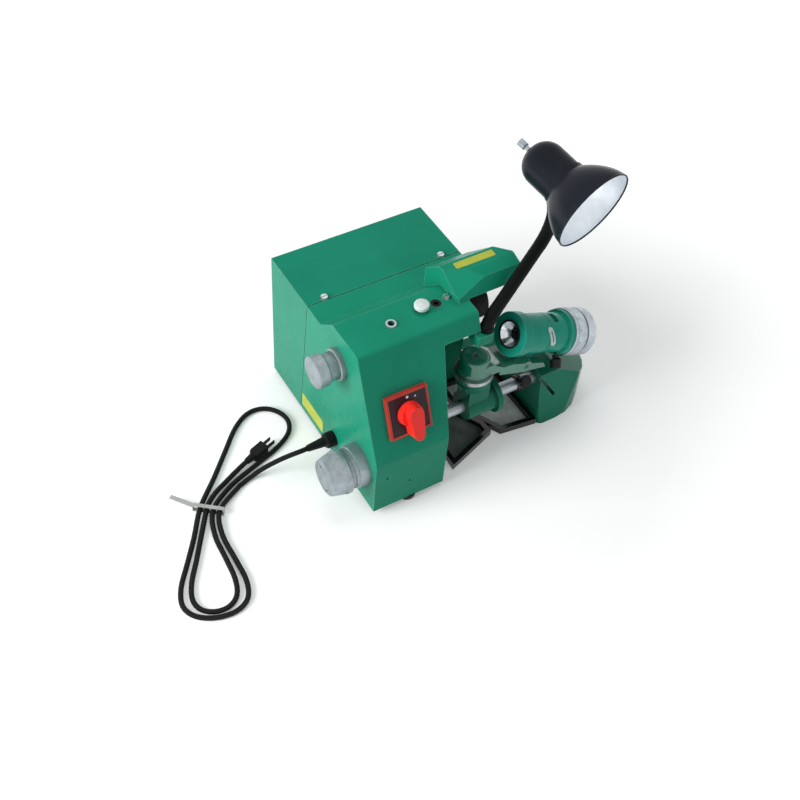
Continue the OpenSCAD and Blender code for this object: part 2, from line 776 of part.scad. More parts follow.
module bar_yoke() {
    color(grey) difference() {
        union() {
            rod_x(bar_yoke_x, bar_yoke_x + yoke_t, bar_f, z_bar, bar_d + 12);
            rod_x(bar_yoke_x, bar_yoke_x + yoke_t, shaft_f, z_shaft, shaft_screw_d + 12);
        }
        rod_x(bar_yoke_x - 1, bar_yoke_x + yoke_t + 1, bar_f, z_bar, bar_d + 2 * slip);
        rod_x(bar_yoke_x - 1, bar_yoke_x + yoke_t + 1, shaft_f, z_shaft, shaft_screw_d + 2 * slip);
    }
}

module guide_bar() { color(steel) rod_x(bar_left, bar_right, bar_f, z_bar, bar_d); }

// Stop collar on the bar with its thumb screw
collar_x = 255;
collar_w = 8;
collar_d = bar_d + 5;
stop_d = 5;
stop_turn = 50;

module in_stop() {
    translate([collar_x + collar_w / 2, -bar_f, z_bar]) rotate([90 - stop_turn, 0, 0]) children();
}

module stop_collar() {
    color(black) difference() {
        rod_x(collar_x, collar_x + collar_w, bar_f, z_bar, collar_d);
        rod_x(collar_x - 1, collar_x + collar_w + 1, bar_f, z_bar, bar_d + 2 * slip);
        in_stop() translate([0, 0, bar_d / 2]) cylinder(d = stop_d + 2 * slip, h = collar_d);
    }
}

module stop_knob() {
    color(black) in_stop() {
        translate([0, 0, bar_d / 2 + gap]) cylinder(d = stop_d, h = collar_d / 2 - bar_d / 2 + 4);
        translate([0, 0, collar_d / 2 + 1]) rotate_extrude()
            polygon(concat([[0, 0], [5, 0], [5, 5], [8, 8]], arc([6, 16], 2, 0, 90, 4), [[0, 18]]));
    }
}

// Carriage: sleeve on the bar, right flange and the seat of the hub
carriage_end = carriage_x + carriage_len;
flange_w = 8;
ring_h = 6;
swivel_d = 54;
hub_pin_d = 20;
hub_pin_h = 14;
z_seat = z_hub - gap - ring_h;
seat_d = 48;
seat_h = 12;
neck_h = 14;
seat_neck_d = 34;
saddle_w = 30;
saddle_reach = 20;

module carriage() {
    color(green) difference() {
        union() {
            rod_x(carriage_x, carriage_end, bar_f, z_bar, carriage_d);
            rod_x(carriage_end - flange_w, carriage_end, bar_f, z_bar, carriage_d + 10);
            block(carriage_x, hub_x + saddle_reach, bar_f - saddle_w / 2, bar_f + saddle_w / 2,
                z_bar, z_seat - seat_h);
            translate([hub_x, -bar_f, z_seat - seat_h - neck_h])
                cylinder(d1 = seat_neck_d, d2 = seat_d, h = neck_h);
            post(hub_x, bar_f, z_seat - seat_h - eps, z_seat, seat_d);
            post(hub_x, bar_f, z_seat - 1, z_hub + hub_pin_h, hub_pin_d);
        }
        rod_x(carriage_x - 1, carriage_end + 1, bar_f, z_bar, bar_d + 2 * slip);
    }
}

// Bright ring that the hub turns on
module swivel_ring() {
    color(steel) difference() {
        post(hub_x, bar_f, z_seat, z_hub - gap, swivel_d);
        post(hub_x, bar_f, z_seat - 1, z_hub, hub_pin_d + 2 * slip);
    }
}

// Swivel hub: low round post with an arm along the head, slotted for the head's tilting lug
pin_x = 252;
pin_z = z_sole + 119.5;
pin_d = 8;
ear_r = 9;
ear_t = 12;
lug_t = 16;
lug_r = 10;
fork_w = lug_t + 2 * ear_t + 2 * gap;
slot_x = 224;
arm_tip = 286;
hub_screw_d = 8;
hub_key = 4;
ring_edge = hub_x + swivel_d / 2 + 1.5;
hub_arm_pts = [[hub_x, z_hub], [ring_edge, z_hub], [ring_edge, pin_z + 6.5], [pin_x - 10, pin_z - 6],
    [arm_tip, pin_z - 16], [arm_tip - 5, pin_z - 6], [pin_x - 23, pin_z + 16.5], [pin_x - 38, pin_z + 18],
    [hub_x + 16, z_hub + 18], [hub_x, z_hub + 18]];

module swivel_hub() {
    color(green) difference() {
        union() {
            translate([hub_x, -bar_f, z_hub]) rotate_extrude()
                polygon(concat([[0, 0], [hub_d / 2, 0], [hub_d / 2, 4], [hub_d / 2 - 2, 6]],
                    arc([hub_top_d / 2 - 4, hub_tall - 4], 4, 0, 90, 4), [[0, hub_tall]]));
            forward(bar_f - fork_w / 2, bar_f + fork_w / 2) polygon(hub_arm_pts);
            rod_f(bar_f - fork_w / 2, bar_f + fork_w / 2, pin_x, pin_z, 2 * ear_r);
        }
        block(slot_x, arm_tip + 1, bar_f - lug_t / 2 - gap, bar_f + lug_t / 2 + gap, z_sole, z_head);
        post(hub_x, bar_f, z_hub - 1, z_hub + hub_pin_h + 1, hub_pin_d + 2 * slip);
        post(hub_x, bar_f, z_hub, z_hub + hub_tall + 1, hub_screw_d + 2 * slip);
        rod_f(bar_f - fork_w, bar_f + fork_w, pin_x, pin_z, pin_d + 2 * slip);
    }
}

// Socket screw in the middle of the hub's top
module hub_screw() {
    color(steel) difference() {
        post(hub_x, bar_f, z_hub + hub_pin_h + 1.5, z_hub + hub_tall - 0.5, hub_screw_d);
        translate([hub_x, -bar_f, z_hub + hub_tall - 4]) cylinder(d = hub_key, h = 5, $fn = 6);
    }
}

module tilt_pin() { color(steel) rod_f(bar_f - fork_w / 2, bar_f + fork_w / 2, pin_x, pin_z, pin_d); }

// Work head: local x runs from the collet face to the dial
module in_head() { translate([head_x, -bar_f, z_head_axis]) rotate([0, head_tilt, 0]) children(); }

module rod_h(x0, x1, d) { translate([x0, 0, 0]) rotate([0, 90, 0]) cylinder(d = d, h = x1 - x0); }

// Tilting pin in the head's own frame
pin_dx = pin_x - head_x;
pin_dz = pin_z - z_head_axis;
pin_local = [pin_dx * cos(head_tilt) - pin_dz * sin(head_tilt),
    pin_dx * sin(head_tilt) + pin_dz * cos(head_tilt)];
plunger_x = 84;
plunger_d = 5;
plunger_turn = 38;
collar_from = -4;
collar_to = 10;
front_d = barrel_d + 6;
rear_d = barrel_d + 8;
rear_w = 7;
lug_top = 6 - barrel_d / 2;
lug_flare = 20;
notch = [56, 10, 18];
groove_x = 46;
ring_groove = [1.4, 0.8];

module workhead_barrel() {
    color(green) in_head() difference() {
        union() {
            rod_h(0, barrel_len, barrel_d);
            rod_h(collar_from, collar_to, front_d);
            rod_h(barrel_len - rear_w, barrel_len, rear_d);
            translate([0, lug_t / 2, 0]) rotate([90, 0, 0]) linear_extrude(lug_t) {
                polygon([pin_local - [lug_r, 0], pin_local + [lug_r, 0],
                    [pin_local[0] + lug_flare, lug_top], [pin_local[0] - lug_flare, lug_top]]);
                translate(pin_local) circle(lug_r);
            }
        }
        rod_h(collar_from - 1, barrel_len + 1, work_d + 2 * slip);
        difference() {
            rod_h(groove_x, groove_x + ring_groove[0], barrel_d + 1);
            rod_h(groove_x - 1, groove_x + ring_groove[0] + 1, barrel_d - 2 * ring_groove[1]);
            translate([groove_x - 1, -lug_t, -barrel_d]) cube([4, 2 * lug_t, barrel_d]);
        }
        translate([pin_local[0], lug_t, pin_local[1]]) rotate([90, 0, 0])
            cylinder(d = pin_d + 2 * slip, h = 2 * lug_t);
        translate([notch[0], -notch[2] / 2, work_d / 2 + 3]) cube([notch[1], notch[2], barrel_d]);
        translate([plunger_x, 0, 0]) rotate([180 - plunger_turn, 0, 0]) translate([0, 0, work_d / 2 - 1])
            cylinder(d = plunger_d + 2 * slip, h = barrel_d);
    }
}

// Slotted pointer bent around the front of the barrel
pointer_x = 48;
pointer_up = 29;
pointer_lean = 24;
pointer_w = 7;
pointer_len = 20;
pointer_t = 2;

module dial_pointer() {
    color(white) in_head() intersection() {
        difference() {
            rod_h(0, barrel_len, barrel_d + 2 * pointer_t);
            rod_h(-1, barrel_len + 1, barrel_d + 2 * slip);
        }
        rotate([-pointer_up, 0, 0]) translate([pointer_x, 0, 0]) rotate([90, 0, 0])
            rotate([0, 0, pointer_lean]) linear_extrude(barrel_d) difference() {
                union() {
                    square([pointer_w, pointer_len], center = true);
                    for (y = [-pointer_len / 2, pointer_len / 2]) translate([0, y]) circle(d = pointer_w);
                }
                square([pointer_w / 3, pointer_len - 4], center = true);
            }
    }
}

// Index plunger under the barrel
plunger_travel = 4;
plunger_knob_r = 8;

module index_plunger() {
    color(black) in_head() translate([plunger_x, 0, 0]) rotate([180 - plunger_turn, 0, 0]) {
        translate([0, 0, work_d / 2 + 1]) cylinder(d = plunger_d, h = rear_d / 2 - work_d / 2 + 2);
        translate([0, 0, rear_d / 2 + gap]) rotate_extrude()
            polygon(concat([[0, 0], [5, 0], [5, 3], [plunger_knob_r, 6]],
                arc([plunger_knob_r - 2, 16], 2, 0, 90, 4), [[0, 18]]));
    }
}

// Hollow work spindle with a collet in its mouth
work_bore = collet_bore + 2;
spindle_out = 6;
collet_d = work_d - 4;
collet_len = 34;
collet_out = spindle_out - 1;
cone_len = 12;
cone_d = collet_d - 1;

module work_spindle() {
    color(steel) in_head() difference() {
        rod_h(-spindle_out, barrel_len + dial_len - 10, work_d);
        rod_h(-spindle_out - 1, barrel_len + dial_len, work_bore);
        rod_h(-spindle_out - 1, collet_len - collet_out, collet_d);
    }
}

module collet() {
    color(steel) in_head() difference() {
        rod_h(-collet_out, collet_len - collet_out, collet_d - 2 * slip);
        rod_h(-collet_out - 1, collet_len, collet_bore);
        translate([-collet_out, 0, 0]) rotate([0, 90, 0])
            cylinder(d1 = cone_d, d2 = collet_bore, h = cone_len);
    }
}

// Index dial: graduated band, groove, plain grip and a chamfered end
band_w = 20;
groove_to = 24;

module index_dial() {
    x0 = barrel_len + gap;
    x1 = barrel_len + dial_len;
    r = dial_d / 2;
    color(grey) in_head() difference() {
        rotate([0, 90, 0]) rotate_extrude() polygon([[0, x0], [r - 1, x0], [r, x0 + 1], [r, x0 + band_w],
            [r - 2.5, x0 + band_w + 1], [r - 2.5, x0 + groove_to - 1], [r, x0 + groove_to], [r, x1 - 6],
            [r - 5, x1], [0, x1]]);
        rod_h(x0 - 1, x1 - 10 + gap, work_d + 2 * slip);
        rod_h(x0, x1 + 1, work_bore);
    }
}

// Gooseneck in an upright plane: foot, bend to the right, bend up again
neck_turn = 20;
neck_foot_d = 10;
neck_foot_h = 4;
neck_rise = 68;
neck_lean = 33;
neck_back = 110;
neck_r1 = 45;
neck_r2 = 44;
neck_run = 97;
neck_tail = 46.5;
neck_step = 0.4;

// Stations of the gooseneck in its plane
neck_p0 = [0, bracket_top + neck_foot_h];
neck_c1 = neck_p0 + neck_r1 * [sin(neck_rise), -cos(neck_rise)];
neck_p1 = neck_c1 + neck_r1 * [-sin(neck_lean), cos(neck_lean)];
neck_p2 = neck_p1 + neck_run * [cos(neck_lean), sin(neck_lean)];
neck_c2 = neck_p2 + neck_r2 * [-sin(neck_lean), cos(neck_lean)];
neck_p3 = neck_c2 + neck_r2 * [sin(neck_back), -cos(neck_back)];
neck_p4 = neck_p3 + neck_tail * [cos(neck_back), sin(neck_back)];

module in_neck() { translate([lamp_x, -lamp_f, 0]) rotate([90, 0, neck_turn]) children(); }

// Bend of the neck about c, from angle a0 over the given sweep
module neck_bend(c, r, a0, sweep) {
    in_neck() translate([c[0], c[1], 0]) rotate([0, 0, a0]) rotate_extrude(angle = sweep)
        translate([r, 0]) circle(d = neck_d);
}

// Straight stretch of the neck from p in direction a
module neck_straight(p, a, len, d) {
    in_neck() translate([p[0], p[1], 0]) rotate([0, 90, 0]) rotate([-a, 0, 0]) cylinder(d = d, h = len);
}

module gooseneck() {
    color(black) union() {
        post(lamp_x, lamp_f, bracket_top - bracket_h, bracket_top + 2, neck_foot_d);
        post(lamp_x, lamp_f, bracket_top + gap, bracket_top + neck_foot_h + 3, neck_d + 1);
        neck_bend(neck_c1, neck_r1, 90 + neck_lean, neck_rise - neck_lean);
        neck_straight(neck_p1 - [cos(neck_lean), sin(neck_lean)], neck_lean, neck_run + 2, neck_d - neck_step);
        neck_bend(neck_c2, neck_r2, neck_lean - 90, neck_back - neck_lean);
        neck_straight(neck_p3 - [cos(neck_back), sin(neck_back)], neck_back, neck_tail + 1, neck_d - neck_step);
    }
}

// Lamp head: local z runs from the holder's rear to the shade's mouth
lamp_dip = 11.5;
lamp_yaw = 12;
holder_back = 12;
holder_rise = 18;
holder_t = 4;
holder_round = holder_d / 2 - 3;
key_d = 6;
bulb_r = 19;
bulb_neck_r = 10;
lamp_n = [sin(lamp_yaw) * cos(lamp_dip), -cos(lamp_yaw) * cos(lamp_dip), -sin(lamp_dip)];
lamp_at = [lamp_x + neck_p4[0] * cos(neck_turn), -lamp_f + neck_p4[0] * sin(neck_turn),
    neck_p4[1] + holder_rise] - holder_back * lamp_n;

module in_lamp() { translate(lamp_at) rotate([90 + lamp_dip, 0, lamp_yaw]) children(); }

module lamp_holder() {
    r = holder_d / 2;
    end = -holder_len / 2;
    c = [r - holder_round, end + holder_round];
    color(black) difference() {
        in_lamp() rotate_extrude() difference() {
            polygon(concat([[0, end]], arc(c, holder_round, -90, 0, 10),
                [[r, -end - 1], [r - 1, -end], [0, -end]]));
            polygon(concat([[0, end + holder_t]], arc(c, holder_round - holder_t, -90, 0, 10),
                [[r - holder_t, holder_len], [0, holder_len]]));
        }
        neck_straight(neck_p3, neck_back, neck_tail + holder_d / 3, neck_d - neck_step + 2 * slip);
        in_lamp() translate([0, 0, -holder_len]) cylinder(d = key_d + 2 * slip, h = holder_len);
    }
}

// Bell-shaped spun shade
shade_z = 27.5;
skirt = 5;
flare = 1.8;

module shade_outline(grow) {
    r0 = holder_d / 2 + gap + shade_t + grow;
    r1 = shade_d / 2 + grow;
    polygon(concat([[0, shade_z], [r0, shade_z], [r0, shade_z + skirt]],
        [for (i = [1 : 10]) let (u = i / 10)
            [r0 + (r1 - r0) * (1 - pow(1 - u, flare)), shade_z + skirt + (shade_len - skirt) * u]],
        [[0, shade_z + shade_len]]));
}

module lamp_shade() {
    color(black) in_lamp() rotate_extrude() difference() {
        shade_outline(0);
        translate([0, -eps]) shade_outline(-shade_t);
        translate([0, shade_z + shade_len - eps]) square([shade_d, 1]);
    }
}

module lamp_bulb() {
    seat_r = bulb_neck_r + gap - (holder_d / 2 - holder_round);
    foot = gap + holder_round - holder_len / 2
        - sqrt(pow(holder_round - holder_t, 2) - pow(seat_r, 2));
    color(white) in_lamp() rotate_extrude()
        polygon(concat([[0, foot], [bulb_neck_r, foot], [bulb_neck_r, holder_len / 2 - 4]],
            arc([0, holder_len / 2 + 12], bulb_r, -55, 90, 10)));
}

// Turn switch at the rear of the lamp holder
key_len = 14;
key_knob_d = 10;

module lamp_switch() {
    color(steel) in_lamp() translate([0, 0, -holder_len / 2]) {
        translate([0, 0, -key_len]) cylinder(d = key_d, h = key_len + 2);
        translate([0, 0, -key_len - 4]) cylinder(d = key_knob_d, h = 10, $fn = 12);
    }
}

// Rotary switch on the sloping front
switch_rim = 3;
switch_shaft_d = 8;
switch_depth = 40;
switch_box = 42;

module switch_body() {
    color(black) on_front(switch_x, switch_down) difference() {
        translate([-switch_box / 2, -switch_box / 2, -wall - switch_depth])
            cube([switch_box, switch_box, switch_depth - gap]);
        translate([0, 0, -wall - 10]) cylinder(d = switch_shaft_d + 2 * slip, h = 20);
    }
}

module switch_frame() {
    half = switch_w / 2;
    open = switch_w - 2 * switch_rim;
    color(red) on_front(switch_x, switch_down) difference() {
        translate([-half, -half, 0]) cube([switch_w, switch_w, switch_t]);
        translate([switch_rim - half, switch_rim - half, -1]) cube([open, open, switch_t + 2]);
    }
}

module switch_face() {
    half = switch_w / 2 - switch_rim - slip;
    color(black) on_front(switch_x, switch_down) difference() {
        translate([-half, -half, 0]) cube([2 * half, 2 * half, switch_t - 0.8]);
        translate([0, 0, -1]) cylinder(d = switch_shaft_d + 2 * slip, h = switch_t + 2);
    }
}

// Red handle: round skirt with an oblong grip across it
skirt_d = 34;
skirt_h = 9;
crown_r = 10;
crown_up = 6;

module switch_knob() {
    side = asin((crown_r - grip_r) / (crown_up + grip_drop));
    color(red) on_front(switch_x, switch_down) translate([0, 0, switch_t]) {
        translate([0, 0, -switch_t - wall - 6]) cylinder(d = switch_shaft_d, h = switch_t + wall + 8);
        cylinder(d1 = skirt_d, d2 = skirt_d - 3, h = skirt_h);
        linear_extrude(grip_h) polygon(concat(arc([0, crown_up], crown_r, side, 180 - side, 10),
            arc([0, -grip_drop], grip_r, 180 - side, 360 + side, 12)));
    }
}

// Shallow chip trays on the bench under the work head, side by side
tray_t = 1.5;
tray_h = 10;
tray_rim = 7;
tray_rear = 188;
tray_seam = [[194, tray_rear], [228, 253]];
left_tray = [[215, 247], [135, 275], [139, tray_rear], [tray_seam[0][0] - gap - slip, tray_rear],
    [tray_seam[0][0] + 20.9 - gap - slip, tray_rear + 40]];
right_tray = [tray_seam[1], tray_seam[0], [tray_seam[0][0], f_strip + gap], [arm_x - gap, f_strip + gap],
    [arm_x - gap, arm_front - 4]];

module tray(p) {
    color(black) difference() {
        upward(0, tray_h) polygon(p);
        upward(tray_t, tray_h + 1) polygon(inset(p, tray_rim));
    }
}

module chip_tray_left() { tray(left_tray); }

module chip_tray_right() { tray(right_tray); }

// Cable gland and tapered strain relief on the left face
gland_len = 14;
relief_end = 40;

module cable_gland() {
    r = gland_thread_d / 2;
    color(black) turned_left(gland_f, z_gland)
        polygon([[0, -wall - 2], [r, -wall - 2], [r, 0], [r + 3, 0], [r + 3, gland_len - 2],
            [r + 1.5, gland_len], [r - 1, gland_len + 1], [cord_d / 2 + 1.2, relief_end], [0, relief_end]]);
}

// Hank on the bench: lobes above and below a bent waist, loops laid inwards side by side
hank_waist = [-188, 182];
hank_head = 52;
hank_bend = 19;
hank_bend_len = 40;
hank_up = 198;
hank_down = 166;
hank_up_w = 37;
hank_down_w = 37;
hank_waist_w = 15.5;
hank_step = 8.6;
hank_start = 15;
hank_full = 2.6;
hank_turns = 1.5 + hank_start / 360;
hank_rings = 24;
waist_lift = 2.4;

function bend_at(s) = hank_head - hank_bend * max(-1, min(1, s / hank_bend_len));
function axis_at(s) = let (r = hank_bend_len / (hank_bend * PI / 180), a = bend_at(s))
    [hank_waist[0], -hank_waist[1]] + r * [sin(hank_head) - sin(a), cos(a) - cos(hank_head)]
    + (s - max(-hank_bend_len, min(hank_bend_len, s))) * [cos(a), sin(a)];

// Point at s along the hank's axis and w to its near side
function hank_point(s, w, z) = let (h = bend_at(s), p = axis_at(s) + w * [sin(h), -cos(h)]) [p[0], p[1], z];

// Centre of the cord after t loops
function hank_at(t) = let (a = hank_start - 360 * t, k = hank_step * t, up = sin(a) >= 0,
    s = ((up ? hank_up : hank_down) - k) * sin(a),
    w = cos(a) * (hank_waist_w - k + hank_full * ((up ? hank_up_w : hank_down_w) - k) * sin(a) * sin(a)),
    near = max(0, 1 - abs(s) / 45))
    hank_point(s, w, cord_d / 2 + waist_lift * near * near * (3 - 2 * near));

function way(t) = unit(hank_at(t + 0.002) - hank_at(t - 0.002));
hank_count = ceil(hank_turns * hank_rings);
hank_in = hank_at(0);
plug_h = 14;
plug_mid = plug_h / 2;

// Tail from the waist to the plug, chosen by hand: along, across and up
tail_pts = [[12, -1.8, 5.7], [24, -0.8, 5.2], [36, 0.6, 4.7], [48, 2.2, 4.5], [60, 3.8, 4.8],
    [72, 5.8, 5.6], [84, 8.2, 6.6], [92, 10, plug_mid]];
tail_path = [for (p = tail_pts) hank_point(p[0], p[1], p[2])];
hank_path = concat([hank_in - way(0) * cord_d],
    [for (i = [0 : hank_count]) hank_at(hank_turns * i / hank_count)], tail_path);

// Least gap of the hank to itself, measured between points of loops a turn apart
hank_last = hank_at(hank_turns);
hank_probe = concat([for (i = [0 : 300]) hank_at(hank_turns * i / 300)],
    [for (i = [0 : len(tail_path) - 1]) for (k = [0 : 5]) let (a = i == 0 ? hank_last : tail_path[i - 1])
        a + (tail_path[i] - a) * k / 5]);
probe_last = len(hank_probe) - 1;
hank_gap = min([for (i = [0 : probe_last]) for (j = [i + 60 : 1 : probe_last])
    norm(hank_probe[i] - hank_probe[j])]) - cord_d;
echo(least_gap_in_hank = hank_gap);

// Free stretch from the gland down to the hank, chosen by hand
lead_pts = [[-50, -179, 43], [-60, -176.5, 40], [-71, -171.5, 33], [-82, -166, 24], [-93, -161.5, 15.5],
    [-104, -159, 8.5], [-114, -159.5, 4.5]];
lead_path = concat([[-relief_end, -gland_f, z_gland]], lead_pts,
    [hank_path[0] - way(0) * cord_d, hank_path[0]]);

// Tube of a given number of sides along a list of points
module tube(p, r, sides) {
    n = len(p);
    last = (n - 1) * sides;
    function head(i) = unit(p[min(i + 1, n - 1)] - p[max(i - 1, 0)]);
    rings = [for (i = [0 : n - 1]) let (h = head(i), s = unit(cross(h, [0, 0, 1])), u = cross(s, h))
        for (k = [0 : sides - 1]) let (a = 360 * (k + 0.5) / sides) p[i] + r * (cos(a) * s + sin(a) * u)];
    faces = concat(
        [for (i = [0 : n - 2]) for (k = [0 : sides - 1])
            let (a = i * sides + k, b = i * sides + (k + 1) % sides)
            each [[a, b, b + sides], [a, b + sides, a + sides]]],
        [for (k = [1 : sides - 2]) [0, k + 1, k]],
        [for (k = [1 : sides - 2]) [last, last + k, last + k + 1]]);
    polyhedron(rings, faces);
}

module cord_lead() { color(black) tube(lead_path, cord_d / 2, 8); }

module cord_hank() { color(black) tube(hank_path, cord_d / 2, 6); }

// Band around the strands at the waist, with its flat tail
tie_t = 1.2;
tie_w = 5;
tie_half = 21;
tie_top = 12;
tie_tail = [34, 6, 2];
tie_tail_turn = 14.6;

module cord_tie() {
    color(white) translate([hank_waist[0], -hank_waist[1], 0]) rotate([0, 0, hank_head]) {
        difference() {
            translate([-tie_w / 2, -tie_half, 0]) cube([tie_w, 2 * tie_half, tie_top]);
            translate([-tie_w, tie_t - tie_half, tie_t])
                cube([2 * tie_w, 2 * (tie_half - tie_t), tie_top - 2 * tie_t]);
        }
        translate([0, tie_half - tie_t, tie_top - 4]) rotate([0, 0, -tie_tail_turn])
            translate([-tie_tail[1] / 2, 0.3, 0]) cube([tie_tail[1], tie_tail[0], tie_tail[2]]);
    }
}

// Slim two-pin plug at the end of the tail
plug_at = tail_path[len(tail_path) - 1];
plug_way = plug_at - tail_path[len(tail_path) - 2];
plug_w = 14;
plug_len = 36;
relief_len = 12;
prong_len = 15;
prong_at = 4;

module plug() {
    color(black) translate([plug_at[0], plug_at[1], 0]) rotate([0, 0, atan2(plug_way[1], plug_way[0])]) {
        translate([0, 0, plug_mid]) rotate([0, 90, 0])
            cylinder(d1 = cord_d + 2, d2 = plug_w - 3, h = relief_len);
        translate([relief_len - 1, 0, 0]) linear_extrude(plug_h) polygon([[0, 2 - plug_w / 2], [4, -plug_w / 2],
            [plug_len - relief_len, -plug_w / 2], [plug_len - relief_len, plug_w / 2], [4, plug_w / 2],
            [0, plug_w / 2 - 2]]);
        for (y = [-prong_at, prong_at]) translate([plug_len - 2, y - 0.8, plug_mid - 3])
            cube([prong_len + 1, 1.6, 6]);
    }
}

at_origin() body_casting();
at_origin() rear_cover();
at_origin() cover_screws();
at_origin() rubber_feet();
at_origin() base_arm();
at_origin() base_bolts();
at_origin() wheel_guard();
at_origin() guard_screw();
at_origin() oil_ring();
at_origin() socket_plug();
at_origin() lock_button();
at_origin() motor_housing();
at_origin() motor_rotor();
at_origin() motor_pulley();
at_origin() drive_belt();
at_origin() quill();
at_origin() feed_yoke();
at_origin() spindle_bearings();
at_origin() spindle();
at_origin() spindle_pulley();
at_origin() wheel_flange();
at_origin() grinding_wheel();
at_origin() wheel_nut();
at_origin() feed_bush();
at_origin() feed_dial();
at_origin() feed_screw();
at_origin() shaft_bush();
at_origin() shaft_dial();
at_origin() shaft_screw();
at_origin() bar_yoke();
at_origin() guide_bar();
at_origin() stop_collar();
at_origin() stop_knob();
at_origin() carriage();
at_origin() swivel_ring();
at_origin() swivel_hub();
at_origin() hub_screw();
at_origin() tilt_pin();
at_origin() workhead_barrel();
at_origin() dial_pointer();
at_origin() index_plunger();
at_origin() work_spindle();
at_origin() collet();
at_origin() index_dial();
at_origin() gooseneck();
at_origin() lamp_holder();
at_origin() lamp_shade();
at_origin() lamp_bulb();
at_origin() lamp_switch();
at_origin() switch_body();
at_origin() switch_frame();
at_origin() switch_face();
at_origin() switch_knob();
at_origin() chip_tray_left();
at_origin() chip_tray_right();
at_origin() cable_gland();
at_origin() cord_lead();
at_origin() cord_hank();
at_origin() cord_tie();
at_origin() plug();
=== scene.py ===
import json
import math
import bmesh
import bpy
from mathutils import Matrix, Vector


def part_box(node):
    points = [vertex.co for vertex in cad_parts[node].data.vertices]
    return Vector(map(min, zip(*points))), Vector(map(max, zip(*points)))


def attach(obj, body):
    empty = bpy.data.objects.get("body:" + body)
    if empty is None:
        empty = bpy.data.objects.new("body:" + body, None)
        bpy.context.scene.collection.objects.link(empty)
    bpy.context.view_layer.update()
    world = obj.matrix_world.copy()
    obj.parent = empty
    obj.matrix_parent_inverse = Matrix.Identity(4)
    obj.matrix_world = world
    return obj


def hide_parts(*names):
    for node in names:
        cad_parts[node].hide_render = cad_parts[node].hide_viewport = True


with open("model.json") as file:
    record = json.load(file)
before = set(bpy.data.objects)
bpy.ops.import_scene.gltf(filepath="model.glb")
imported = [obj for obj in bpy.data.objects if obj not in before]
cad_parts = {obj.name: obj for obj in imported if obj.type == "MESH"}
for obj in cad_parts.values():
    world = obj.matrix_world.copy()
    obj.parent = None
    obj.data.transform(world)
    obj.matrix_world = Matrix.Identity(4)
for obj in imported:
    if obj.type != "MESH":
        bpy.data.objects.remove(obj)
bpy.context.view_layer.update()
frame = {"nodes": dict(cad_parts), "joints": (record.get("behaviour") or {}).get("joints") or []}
nodes = frame["nodes"]
joints = {j["name"]: j for j in frame["joints"]}

# Places are in millimetres: x from the left face, f forward from the rear face, z up from the bench
COVER_LOW, COVER_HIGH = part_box("rear_cover")


def at(x, f, z):
    return Vector((COVER_LOW.x + x / 1000, COVER_HIGH.y - f / 1000, z / 1000))


# Camera solved from the straight edges of the body in the photograph
VIEW_RIGHT = Vector((0.8595, -0.5077, 0.0594))
VIEW_BACK = Vector((-0.3704, -0.5387, 0.7568))
VIEW_AIM, VIEW_FAR = at(133.1, 134.4, 3.0), 1.7407
SENSOR, LENS = 36, 54.6


def make_camera():
    back = VIEW_BACK.normalized()
    up = back.cross(VIEW_RIGHT.normalized()).normalized()
    right = up.cross(back)
    eye = VIEW_AIM + back * VIEW_FAR
    data = bpy.data.cameras.new("camera")
    data.sensor_width = data.sensor_height = SENSOR
    data.sensor_fit = "AUTO"
    data.lens = LENS
    data.clip_end = 20
    cam = bpy.data.objects.new("camera", data)
    cam.matrix_world = Matrix((
        (right.x, up.x, back.x, eye.x),
        (right.y, up.y, back.y, eye.y),
        (right.z, up.z, back.z, eye.z),
        (0, 0, 0, 1)))
    bpy.context.scene.collection.objects.link(cam)
    bpy.context.scene.camera = cam


make_camera()


